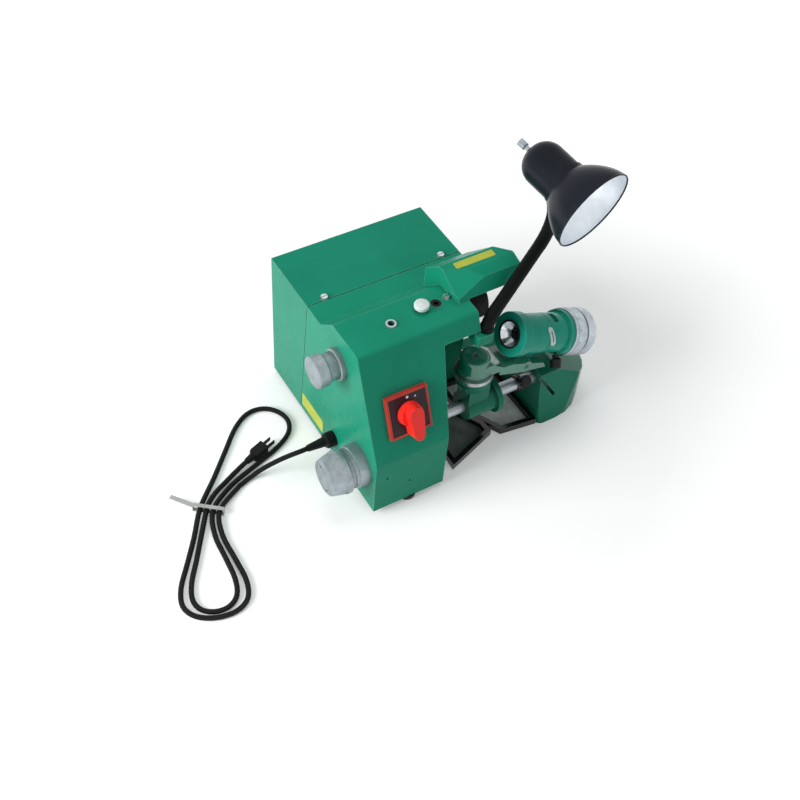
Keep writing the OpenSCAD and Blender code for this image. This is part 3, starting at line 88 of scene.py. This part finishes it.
# Material whose colour, roughness and bump come from a node tree
class Tree:
    def __init__(self, name):
        self.mat = bpy.data.materials.new(name)
        self.mat.use_nodes = True
        self.t = self.mat.node_tree
        self.t.nodes.clear()
        self.out = self.t.nodes.new("ShaderNodeOutputMaterial")
        self.b = self.t.nodes.new("ShaderNodeBsdfPrincipled")
        self.t.links.new(self.b.outputs[0], self.out.inputs[0])
        self.co = self.t.nodes.new("ShaderNodeTexCoord").outputs["Object"]

    def node(self, kind, **props):
        n = self.t.nodes.new("ShaderNode" + kind)
        for k, v in props.items():
            setattr(n, k, v)
        return n

    def link(self, a, b):
        self.t.links.new(a, b)

    def noise(self, scale, detail=4, rough=0.6, co=None):
        n = self.node("TexNoise")
        n.inputs["Scale"].default_value = scale
        n.inputs["Detail"].default_value = detail
        n.inputs["Roughness"].default_value = rough
        self.link(co or self.co, n.inputs["Vector"])
        return n.outputs["Fac"]

    def stretch(self, sx, sy, sz):
        n = self.node("Mapping")
        n.inputs["Scale"].default_value = (sx, sy, sz)
        self.link(self.co, n.inputs["Vector"])
        return n.outputs[0]

    def span(self, v, a, b, c=0.0, d=1.0):
        n = self.node("MapRange")
        self.link(v, n.inputs["Value"])
        for k, x in zip(("From Min", "From Max", "To Min", "To Max"), (a, b, c, d)):
            n.inputs[k].default_value = x
        return n.outputs[0]

    def math(self, op, a, b):
        n = self.node("Math", operation=op)
        for i, v in enumerate((a, b)):
            if isinstance(v, (int, float)):
                n.inputs[i].default_value = v
            else:
                self.link(v, n.inputs[i])
        return n.outputs[0]

    def mix(self, fac, a, b):
        n = self.node("Mix", data_type="RGBA")
        self.link(fac, n.inputs[0])
        for i, v in ((6, a), (7, b)):
            if isinstance(v, (tuple, list)):
                n.inputs[i].default_value = (*v, 1)
            else:
                self.link(v, n.inputs[i])
        return n.outputs[2]

    def color(self, v):
        self.link(v, self.b.inputs["Base Color"])

    def rough(self, v):
        self.link(v, self.b.inputs["Roughness"])

    def bump(self, height, strength, distance):
        n = self.node("Bump")
        n.inputs["Strength"].default_value = strength
        n.inputs["Distance"].default_value = distance
        self.link(height, n.inputs["Height"])
        self.link(n.outputs[0], self.b.inputs["Normal"])

    def edges(self, radius):
        bevel = self.node("Bevel", samples=4)
        bevel.inputs["Radius"].default_value = radius
        geo = self.node("NewGeometry")
        dot = self.node("VectorMath", operation="DOT_PRODUCT")
        self.link(bevel.outputs[0], dot.inputs[0])
        self.link(geo.outputs["Normal"], dot.inputs[1])
        return self.span(dot.outputs["Value"], 0.995, 0.85)

    # Painted shade: a mask that is 1 in hollows and creases, from ambient occlusion
    def painted_hollow_shade(self, distance):
        ao = self.node("AmbientOcclusion", samples=4)
        ao.inputs["Distance"].default_value = distance
        return self.span(ao.outputs["AO"], 0.9, 0.35)

    def upward(self):
        geo = self.node("NewGeometry")
        parts = self.node("SeparateXYZ")
        self.link(geo.outputs["Normal"], parts.inputs[0])
        return self.span(parts.outputs["Z"], 0.35, 0.95)

    def set(self, **values):
        for k, v in values.items():
            self.b.inputs[k.replace("_", " ")].default_value = v


# Linear colour from the 0 to 255 values of a picture
def linear(c):
    return c / 12.92 if c <= 0.04045 else ((c + 0.055) / 1.055) ** 2.4


def rgb(r, g, b):
    return tuple(linear(v / 255) for v in (r, g, b))


# Paint: two tones, painted shade darkening the hollows, a painted highlight along the edges, chips along them,
# and dust on top faces (on the hub a painted highlight)
def enamel(name, base, dark, light, wear, rough=(0.24, 0.38), peel=0.04, shine=0.07, dust_and_painted_light=None):
    m = Tree(name)
    c = m.mix(m.span(m.noise(9, 3), 0.35, 0.7), base, light)
    c = m.mix(m.span(m.noise(16, 4, 0.6), 0.5, 0.85, 0, 0.35), c, dark)
    # Painted shade: the dark tone in the hollows
    c = m.mix(m.math("MULTIPLY", m.painted_hollow_shade(0.012), 0.55), c, dark)
    # Painted highlight: a paler tone, mixed from the light and wear colours, along every rounded edge
    painted_edge_highlight = tuple(v * 0.6 + w * 0.4 for v, w in zip(light, wear))
    c = m.mix(m.math("MULTIPLY", m.edges(0.003), 0.4), c, painted_edge_highlight)
    # Dust on up-facing faces; on the hub this colour is a painted highlight instead
    if dust_and_painted_light:
        patches = m.span(m.noise(70, 5, 0.7), 0.4, 0.75, 0, 0.6)
        c = m.mix(m.math("MULTIPLY", m.upward(), patches), c, dust_and_painted_light)
    chips = m.math("MULTIPLY", m.edges(0.0012), m.span(m.noise(160, 5, 0.7), 0.54, 0.68))
    c = m.mix(chips, c, wear)
    m.color(c)
    m.rough(m.span(m.noise(55, 5), 0.3, 0.75, rough[0], rough[1]))
    waves = m.math("MULTIPLY", m.noise(45, 2), 1.5)
    m.bump(m.math("ADD", m.noise(420, 2), waves), peel, 0.0006)
    m.set(Specular_IOR_Level=shine)
    return m.mat


# Metal: streaks of two tones, stains, painted shade darkening the hollows and bright edges
def metal(name, base, dark, rough=(0.22, 0.42), stretch=None, bump=0.06, wear=None, pits=0.25):
    m = Tree(name)
    co = m.stretch(*stretch) if stretch else m.co
    streak = m.noise(90, 5, 0.65, co)
    c = m.mix(m.span(streak, 0.3, 0.75), dark, base)
    c = m.mix(m.span(m.noise(24, 4), 0.55, 0.8, 0, pits), c, tuple(v * 0.45 for v in dark))
    # Painted shade: darker in the hollows
    c = m.mix(m.math("MULTIPLY", m.painted_hollow_shade(0.006), 0.6), c, tuple(v * 0.3 for v in dark))
    if wear:
        c = m.mix(m.edges(0.0009), c, wear)
    m.color(c)
    m.rough(m.span(streak, 0.2, 0.8, rough[1], rough[0]))
    m.bump(m.noise(380, 4, 0.6, co), bump, 0.0005)
    m.set(Metallic=0.9)
    return m.mat


# Plastic, rubber and glass: two tones, fine grain and pale worn edges, which on the black trays are a painted
# highlight
def plastic(name, base, dark, rough=(0.3, 0.45), bump=0.04, scale=300, light=None, shine=0.3):
    m = Tree(name)
    c = m.mix(m.span(m.noise(30, 4), 0.35, 0.75), base, dark)
    if light:
        # Pale edge patches: wear, and on the trays a painted highlight
        wear_and_glint_mask = m.span(m.noise(120, 4), 0.4, 0.7)
        c = m.mix(m.math("MULTIPLY", m.edges(0.0008), wear_and_glint_mask), c, light)
    m.color(c)
    m.rough(m.span(m.noise(70, 4), 0.3, 0.7, rough[0], rough[1]))
    m.bump(m.noise(scale, 3), bump, 0.0005)
    m.set(Specular_IOR_Level=shine)
    return m.mat


GREEN = enamel("green_enamel", rgb(24, 135, 106), rgb(18, 108, 84), rgb(28, 142, 112), rgb(150, 190, 176))
GREEN_SHEET = enamel("green_sheet", rgb(24, 132, 105), rgb(19, 112, 88), rgb(27, 138, 110), rgb(150, 190, 176),
                     peel=0.03)
# Painted shade: a darker copy of the green for the pieces in the shaded bay, with real dust on top faces
GREEN_SHADED_DUSTY = enamel("green_shaded_dusty", rgb(22, 116, 92), rgb(14, 76, 61), rgb(27, 128, 102), rgb(160, 186, 176),
                    rough=(0.14, 0.28), shine=0.1, dust_and_painted_light=rgb(36, 92, 76))
# Glossy green for the hub; its pale colour on up-facing faces is a painted highlight on the hub's top
GREEN_HUB = enamel("green_hub", rgb(26, 122, 98), rgb(16, 84, 67), rgb(34, 136, 110), rgb(160, 190, 180),
                   rough=(0.1, 0.2), shine=1.0, dust_and_painted_light=rgb(124, 172, 160))
GREEN_HEAD = enamel("green_head", rgb(26, 156, 132), rgb(20, 122, 102), rgb(30, 164, 140), rgb(150, 190, 180),
                    rough=(0.18, 0.3), shine=0.15)
BLACK_LAMP = enamel("black_lamp", rgb(24, 27, 34), rgb(15, 17, 22), rgb(32, 36, 44), rgb(60, 65, 74),
                    rough=(0.2, 0.34), peel=0.03, shine=0.09)

CAST = metal("cast_aluminium", rgb(176, 186, 191), rgb(146, 155, 161), (0.42, 0.6), wear=rgb(206, 213, 217))
DIAL = metal("dial_aluminium", rgb(200, 208, 215), rgb(164, 172, 180), (0.4, 0.56), wear=rgb(226, 231, 235),
             pits=0.35)
STEEL = metal("bright_steel", rgb(206, 210, 213), rgb(158, 163, 168), (0.2, 0.38))
BAR = metal("polished_bar", rgb(196, 202, 207), rgb(146, 153, 159), (0.4, 0.56), stretch=(0.12, 2, 2))
CHROME = metal("chrome", rgb(226, 229, 232), rgb(198, 203, 208), (0.08, 0.2), bump=0.02, pits=0.05)
BLACKENED = metal("blackened_steel", rgb(58, 60, 62), rgb(38, 40, 42), (0.3, 0.46), wear=rgb(150, 154, 158))
REFLECTOR = metal("lamp_reflector", rgb(243, 248, 252), rgb(232, 238, 245), (0.4, 0.55), bump=0.03, pits=0.05)

NECK = plastic("neck_cover", rgb(11, 14, 13), rgb(7, 9, 9), (0.46, 0.62), 0.06, 300, shine=0.1)
# Glossy black trays; their pale rim edges are a painted highlight
TRAY = plastic("tray_black", rgb(18, 19, 20), rgb(12, 13, 14), (0.1, 0.22), 0.08, 120,
               light=rgb(150, 153, 156), shine=0.5)
DUST = plastic("tray_dust", rgb(112, 120, 116), rgb(68, 76, 72), (0.5, 0.7), 0.25, 200, shine=0.2)
# Painted light: a paler copy of the tray dust, for the right tray in the arm's shadow
DUST_PAINTED_LIGHT = plastic("tray_dust_painted_light", rgb(206, 212, 209), rgb(150, 157, 154), (0.5, 0.7), 0.25, 200, shine=0.2)
RUBBER = plastic("black_rubber", rgb(17, 17, 19), rgb(11, 11, 13), (0.42, 0.6), 0.1, 260, shine=0.22)
BLACK = plastic("black_plastic", rgb(20, 20, 23), rgb(13, 13, 15), (0.28, 0.42), 0.05, 320,
                light=rgb(84, 85, 90), shine=0.25)
FACE = plastic("switch_face", rgb(44, 34, 39), rgb(34, 26, 31), (0.3, 0.45), 0.03, 420,
               light=rgb(120, 118, 124), shine=0.2)
RED = plastic("red_plastic", rgb(250, 48, 40), rgb(232, 36, 30), (0.28, 0.4), 0.03, light=rgb(246, 110, 100))
RED_FRAME = plastic("red_frame", rgb(190, 58, 48), rgb(160, 42, 36), (0.32, 0.46), 0.03,
                    light=rgb(226, 124, 112))
WHITE = plastic("white_plastic", rgb(222, 232, 230), rgb(204, 214, 212), (0.22, 0.34), 0.02)
TIE = plastic("tie_plastic", rgb(182, 183, 180), rgb(152, 153, 150), (0.3, 0.45), 0.03)
YELLOW = plastic("yellow_label", rgb(190, 196, 76), rgb(166, 174, 72), (0.4, 0.6), 0.05, 160, shine=0.2)
ABRASIVE = plastic("abrasive", rgb(44, 44, 46), rgb(26, 26, 28), (0.7, 0.9), 0.6, 900)
GLASS = plastic("bulb_glass", rgb(238, 238, 234), rgb(226, 228, 226), (0.15, 0.25), 0.01)

LOOK = {
    GREEN: "body_casting wheel_guard",
    GREEN_SHEET: "rear_cover",
    GREEN_HEAD: "workhead_barrel",
    GREEN_SHADED_DUSTY: "base_arm carriage tilt_pin",
    GREEN_HUB: "swivel_hub",
    CAST: "feed_bush feed_dial shaft_bush shaft_dial motor_housing feed_yoke bar_yoke"
          " motor_pulley spindle_pulley wheel_flange",
    DIAL: "index_dial",
    STEEL: "base_bolts oil_ring quill spindle feed_screw shaft_screw swivel_ring"
           " spindle_bearings motor_rotor",
    BAR: "guide_bar lamp_switch",
    CHROME: "collet wheel_nut cover_screws guard_screw hub_screw",
    BLACKENED: "work_spindle stop_collar",
    BLACK_LAMP: "lamp_holder lamp_shade",
    TRAY: "chip_tray_left chip_tray_right",
    RUBBER: "rubber_feet drive_belt cable_gland cord_lead cord_hank plug",
    BLACK: "socket_plug stop_knob index_plunger switch_body",
    NECK: "gooseneck",
    FACE: "switch_face",
    RED: "switch_knob",
    RED_FRAME: "switch_frame",
    WHITE: "lock_button dial_pointer",
    TIE: "cord_tie",
    ABRASIVE: "grinding_wheel",
    GLASS: "lamp_bulb",
}
for material, names in LOOK.items():
    for n in names.split():
        nodes[n].data.materials.clear()
        nodes[n].data.materials.append(material)


# Second material on the faces that pass a test
def second(n, material, test):
    mesh = nodes[n].data
    mesh.materials.append(material)
    for p in mesh.polygons:
        p.material_index = 1 if test(p.center, p.normal) else 0


LAMP_AXIS = Vector(joints["lamp_key_turn"]["axis"])
LAMP_AT = Vector(joints["lamp_key_turn"]["pos_m"])
TRAY_FLOOR = 4.0


def faces_lamp_axis(center, normal):
    r = center - LAMP_AT
    return normal.dot((r - LAMP_AXIS * r.dot(LAMP_AXIS)).normalized()) < -0.05


second("lamp_shade", REFLECTOR, faces_lamp_axis)
# The right tray's floor takes the paler dust, which is painted light
for tray, dust_and_painted_light in (("chip_tray_left", DUST), ("chip_tray_right", DUST_PAINTED_LIGHT)):
    second(tray, dust_and_painted_light, lambda center, normal: normal.z > 0.9 and center.z < TRAY_FLOOR / 1000)


# Soft edges on cast, moulded and machined pieces, by width
EDGE_ANGLE = 28
EDGE = {
    3.0: "body_casting base_arm",
    2.2: "wheel_guard",
    1.6: "switch_knob",
    1.2: "carriage swivel_hub workhead_barrel switch_frame plug",
    1.0: "rear_cover",
    0.9: "chip_tray_left chip_tray_right",
    0.6: "shaft_dial index_dial rubber_feet",
    0.5: "feed_dial shaft_bush cable_gland guide_bar",
    0.4: "feed_bush stop_knob index_plunger stop_collar swivel_ring cord_tie lamp_switch",
    0.3: "switch_face dial_pointer cover_screws guard_screw collet lock_button",
    0.2: "oil_ring",
}


def soften(n, width):
    large = n == "body_casting"
    mod = nodes[n].modifiers.new("edge", "BEVEL")
    mod.width = width / 1000
    mod.segments = 3 if large else 2
    mod.limit_method = "ANGLE"
    mod.angle_limit = math.radians(EDGE_ANGLE)
    mod.harden_normals = True
    mod.use_clamp_overlap = not large
    for p in nodes[n].data.polygons:
        p.use_smooth = True


for width, names in EDGE.items():
    for n in names.split():
        soften(n, width)


# Cord: the same route as the solids, one smooth curve
CORD_D = 7.0
# Waist of the hank, heading of its axis there, and how far the axis bends on either side
WAIST, HEAD, BEND, BEND_LEN = (-188.0, 182.0), 52.0, 19.0, 40.0
# Length and half width of the two lobes, and half width at the waist
UP, DOWN, UP_W, DOWN_W, WAIST_W = 198.0, 166.0, 37.0, 37.0, 15.5
# Step inward per turn, angle of the first strand, fullness of the lobes, and rise under the tie
STEP, START, FULL, LIFT, LIFT_LEN = 8.6, 15.0, 2.6, 2.4, 45.0
TURNS = 1.5 + START / 360
RINGS = 24
GLAND = (-40.0, 179.0, 43.0)
LEAD = [(-50, 179, 43), (-60, 176.5, 40), (-71, 171.5, 33), (-82, 166, 24), (-93, 161.5, 15.5),
        (-104, 159, 8.5), (-114, 159.5, 4.5)]
# Along the hank's axis, to its near side, and up
TAIL = [(12, -1.8, 5.7), (24, -0.8, 5.2), (36, 0.6, 4.7), (48, 2.2, 4.5), (60, 3.8, 4.8), (72, 5.8, 5.6),
        (84, 8.2, 6.6), (92, 10, 7)]


def clip(v, a, b):
    return max(a, min(b, v))


# Point at s along the hank's bent axis, w to its near side
def hank_point(s, w, z):
    h = math.radians(HEAD - BEND * clip(s / BEND_LEN, -1, 1))
    r = BEND_LEN / math.radians(BEND)
    m = math.radians(HEAD)
    rest = s - clip(s, -BEND_LEN, BEND_LEN)
    x = WAIST[0] + r * (math.sin(m) - math.sin(h)) + rest * math.cos(h) + w * math.sin(h)
    f = WAIST[1] - r * (math.cos(h) - math.cos(m)) - rest * math.sin(h) + w * math.cos(h)
    return Vector((x, f, z))


def hank_at(t):
    a = math.radians(START - 360 * t)
    k = STEP * t
    up = math.sin(a) >= 0
    s = ((UP if up else DOWN) - k) * math.sin(a)
    w = math.cos(a) * (WAIST_W - k + FULL * ((UP_W if up else DOWN_W) - k) * math.sin(a) ** 2)
    near = max(0, 1 - abs(s) / LIFT_LEN)
    return hank_point(s, w, CORD_D / 2 + LIFT * near * near * (3 - 2 * near))


def cord_route():
    count = math.ceil(TURNS * RINGS)
    first = hank_at(0)
    enter = (hank_at(0.002) - hank_at(-0.002)).normalized() * CORD_D
    pts = [Vector(GLAND)] + [Vector(p) for p in LEAD] + [first - 2 * enter, first - enter]
    pts += [hank_at(TURNS * i / count) for i in range(count + 1)]
    pts += [hank_point(*p) for p in TAIL]
    return [at(*p) for p in pts]


# Catmull-Rom samples make one even polyline
def smooth_line(pts, steps=4):
    fine = []
    for i in range(len(pts) - 1):
        p0, p1, p2, p3 = pts[max(i - 1, 0)], pts[i], pts[i + 1], pts[min(i + 2, len(pts) - 1)]
        for j in range(steps):
            u = j / steps
            fine.append(0.5 * ((2 * p1) + (p2 - p0) * u + (2 * p0 - 5 * p1 + 4 * p2 - p3) * u * u
                               + (3 * p1 - p0 - 3 * p2 + p3) * u ** 3))
    return fine + [pts[-1]]


def make_cord():
    fine = smooth_line(cord_route())
    curve = bpy.data.curves.new("mains_cord", "CURVE")
    curve.dimensions = "3D"
    spline = curve.splines.new("POLY")
    spline.points.add(len(fine) - 1)
    for p, c in zip(spline.points, fine):
        p.co = (*c, 1)
    curve.bevel_depth = CORD_D / 2000
    curve.bevel_resolution = 5
    curve.use_fill_caps = True
    o = bpy.data.objects.new("mains_cord", curve)
    bpy.context.scene.collection.objects.link(o)
    curve.materials.append(RUBBER)
    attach(o, "machine")
    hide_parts("cord_lead", "cord_hank")


make_cord()


# Thin details: stickers, dots, pins and dial marks
def add_mesh(name, bm, body, material):
    bmesh.ops.recalc_face_normals(bm, faces=bm.faces)
    me = bpy.data.meshes.new(name)
    bm.to_mesh(me)
    bm.free()
    o = bpy.data.objects.new(name, me)
    bpy.context.scene.collection.objects.link(o)
    me.materials.append(material)
    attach(o, body)


# Outlines raised by one vector
def plate(name, outlines, lift, body, material):
    bm = bmesh.new()
    for corners in outlines:
        low = [bm.verts.new(c) for c in corners]
        top = [bm.verts.new(c + lift) for c in corners]
        bm.faces.new(low[::-1])
        bm.faces.new(top)
        for i in range(len(low)):
            j = (i + 1) % len(low)
            bm.faces.new((low[i], low[j], top[j], top[i]))
    add_mesh(name, bm, body, material)


def rounded(u0, u1, v0, v1, r, n=4):
    out = []
    corners = ((u1 - r, v0 + r, -90), (u1 - r, v1 - r, 0), (u0 + r, v1 - r, 90), (u0 + r, v0 + r, 180))
    for cu, cv, a0 in corners:
        for i in range(n + 1):
            a = math.radians(a0 + 90 * i / n)
            out.append((cu + r * math.cos(a), cv + r * math.sin(a)))
    return out


def ring(center, u, v, r, n=20):
    angles = (2 * math.pi * i / n for i in range(n))
    return [center + (u * math.cos(a) + v * math.sin(a)) * r / 1000 for a in angles]


# Blank stickers on the guard's top (x, f) and the left face (f, z): low and high sides, then corner radius
STICKER_T, STICKER_GAP = 0.25, 0.02
GUARD_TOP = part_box("wheel_guard")[1].z * 1000 + STICKER_GAP
GUARD_STICKER = rounded(174, 233, 164, 175, 1.5)
SIDE_STICKER = rounded(88, 148, 20, 44, 2)
plate("guard_sticker", [[at(x, f, GUARD_TOP) for x, f in GUARD_STICKER]],
      Vector((0, 0, STICKER_T / 1000)), "machine", YELLOW)
plate("side_sticker", [[at(-STICKER_GAP, f, z) for f, z in SIDE_STICKER]],
      Vector((-STICKER_T / 1000, 0, 0)), "machine", YELLOW)

# Two white dots on the switch face: across, up the slope and radius
SWITCH_N = Vector(joints["switch_turn"]["axis"])
SWITCH_AT = Vector(joints["switch_turn"]["pos_m"])
ACROSS = Vector((1, 0, 0))
UPHILL = SWITCH_N.cross(ACROSS)
FACE_H = max((v.co - SWITCH_AT).dot(SWITCH_N) for v in nodes["switch_face"].data.vertices)
FACE_AT = SWITCH_AT + SWITCH_N * FACE_H
DOTS = [(0.5, 22.7, 1.9), (11.7, 20.2, 1.2)]
DOT_T = 0.2
plate("switch_dots", [ring(FACE_AT + (ACROSS * x + UPHILL * y) / 1000, ACROSS, UPHILL, r) for x, y, r in DOTS],
      SWITCH_N * DOT_T / 1000, "machine", WHITE)

# Bright pins in the face of the large knob
KNOB_AT = Vector(joints["bar_turn"]["pos_m"])
PIN_R, PIN_OUT, PIN_AT, PIN_LONG = 2.4, 17.5, 52.0, 2.0
PIN_ANGLES = (60, 240)
REARWARD, UPWARD = Vector((0, 1, 0)), Vector((0, 0, 1))


def pin_place(angle):
    a = math.radians(angle)
    place = KNOB_AT + (REARWARD * math.cos(a) + UPWARD * math.sin(a)) * PIN_OUT / 1000
    place.x = COVER_LOW.x - PIN_AT / 1000
    return place


plate("knob_pins", [ring(pin_place(a), REARWARD, UPWARD, PIN_R) for a in PIN_ANGLES],
      Vector((-PIN_LONG / 1000, 0, 0)), "bar_knob", CHROME)


# Rolled bead round the shade's mouth
def shade_bead(thick=1.1, rings=96, sides=8):
    rel = [v.co - LAMP_AT for v in nodes["lamp_shade"].data.vertices]
    mouth = LAMP_AT + LAMP_AXIS * max(r.dot(LAMP_AXIS) for r in rel)
    wide = max((r - LAMP_AXIS * r.dot(LAMP_AXIS)).length for r in rel) - thick / 2000
    side = LAMP_AXIS.orthogonal().normalized()
    bm = bmesh.new()
    loops = []
    for i in range(rings):
        out = Matrix.Rotation(2 * math.pi * i / rings, 3, LAMP_AXIS) @ side
        loops.append([bm.verts.new(p) for p in ring(mouth + out * wide, out, LAMP_AXIS, thick, sides)])
    for i in range(rings):
        for k in range(sides):
            a, b, m = loops[i], loops[(i + 1) % rings], (k + 1) % sides
            bm.faces.new((a[k], b[k], b[m], a[m])).smooth = True
    add_mesh("shade_bead", bm, "lamp", BLACK_LAMP)


shade_bead()


# Marks round a turned sleeve: start and lengths run along the joint's axis
def ring_marks(name, joint, body, start, way, radius, count, every, long, short, wide=0.45, thick=0.3):
    axis = Vector(joints[joint]["axis"]).normalized()
    center = Vector(joints[joint]["pos_m"])
    side = axis.orthogonal().normalized()
    bm = bmesh.new()
    for i in range(count):
        out = Matrix.Rotation(2 * math.pi * i / count, 3, axis) @ side
        length = long if i % every == 0 else short
        mid = center + (axis * (start + way * length / 2) + out * radius) / 1000
        size = Matrix((axis * length, axis.cross(out) * wide, out * thick)).transposed() * 0.001
        bmesh.ops.create_cube(bm, size=1, matrix=Matrix.Translation(mid) @ size.to_4x4())
    add_mesh(name, bm, body, BLACKENED)


ring_marks("index_marks", "spindle_index", "index_unit",
           start=51.5, way=1, radius=33.0, count=72, every=6, long=9.0, short=5.0)
ring_marks("feed_marks", "feed_turn", "feed_knob",
           start=11.2, way=-1, radius=18.5, count=50, every=5, long=5.5, short=3.5, wide=0.35)
ring_marks("bar_marks", "bar_turn", "bar_knob",
           start=19.2, way=-1, radius=26.5, count=50, every=5, long=4.4, short=2.8, wide=0.4)


# 1 for the rays that show the background
def shows(tree):
    path = tree.nodes.new("ShaderNodeLightPath")
    last = path.outputs["Is Camera Ray"]
    for kind in ("Is Glossy Ray", "Is Transmission Ray"):
        n = tree.nodes.new("ShaderNodeMath")
        n.operation = "MAXIMUM"
        tree.links.new(last, n.inputs[0])
        tree.links.new(path.outputs[kind], n.inputs[1])
        last = n.outputs[0]
    return last


# Pale floor: it shows the shadow near the machine and fades to white further out
FLOOR_SIZE, FLOOR_Z = 12, -0.0002
FADE_FROM, FADE_TO, GLOW_NEAR, GLOW_FAR = 0.35, 1.4, 0.2, 1.0


def make_floor():
    bpy.ops.mesh.primitive_plane_add(size=FLOOR_SIZE, location=(0, 0, FLOOR_Z))
    floor = bpy.context.object
    floor.name = "floor"
    m = Tree("floor")
    m.color(m.mix(m.span(m.noise(3, 2), 0.3, 0.7), rgb(246, 246, 246), rgb(250, 250, 250)))
    m.set(Roughness=0.9, Specular_IOR_Level=0.1, Emission_Color=(1, 1, 1, 1))
    away = m.node("VectorMath", operation="LENGTH")
    m.link(m.node("NewGeometry").outputs["Position"], away.inputs[0])
    glow = m.span(away.outputs["Value"], FADE_FROM, FADE_TO, GLOW_NEAR, GLOW_FAR)
    m.link(m.math("MULTIPLY", shows(m.t), glow), m.b.inputs["Emission Strength"])
    floor.data.materials.append(m.mat)


# Soft fill for the surfaces, plain white for the background
FILL, FILL_TINT = 0.25, (0.95, 0.98, 1, 1)


def make_world():
    world = bpy.data.worlds.new("world")
    bpy.context.scene.world = world
    world.use_nodes = True
    t = world.node_tree
    t.nodes.clear()
    out = t.nodes.new("ShaderNodeOutputWorld")
    mix = t.nodes.new("ShaderNodeMixShader")
    soft = t.nodes.new("ShaderNodeBackground")
    white = t.nodes.new("ShaderNodeBackground")
    soft.inputs[0].default_value = FILL_TINT
    soft.inputs[1].default_value = FILL
    white.inputs[0].default_value = (1, 1, 1, 1)
    white.inputs[1].default_value = 1.0
    t.links.new(shows(t), mix.inputs[0])
    t.links.new(soft.outputs[0], mix.inputs[1])
    t.links.new(white.outputs[0], mix.inputs[2])
    t.links.new(mix.outputs[0], out.inputs[0])


# Round soft lamp; shiny surfaces show the white background and not the lamp
def area(name, place, aim, size, power):
    data = bpy.data.lights.new(name, "AREA")
    data.shape = "DISK"
    data.size = size
    data.energy = power
    o = bpy.data.objects.new(name, data)
    o.location = place
    o.rotation_euler = (Vector(aim) - Vector(place)).to_track_quat("-Z", "Y").to_euler()
    o.visible_glossy = False
    bpy.context.scene.collection.objects.link(o)


make_floor()
make_world()
area("key", place=(-2.0, 0.1, 1.05), aim=(0, 0, 0.15), size=1.4, power=48)
area("top", place=(0.2, 0.4, 2.4), aim=(0, 0, 0.1), size=1.6, power=15)
area("front", place=(0.8, -2.1, 1.5), aim=(0, 0, 0.1), size=1.4, power=7)
bpy.context.scene.view_settings.view_transform = "Standard"
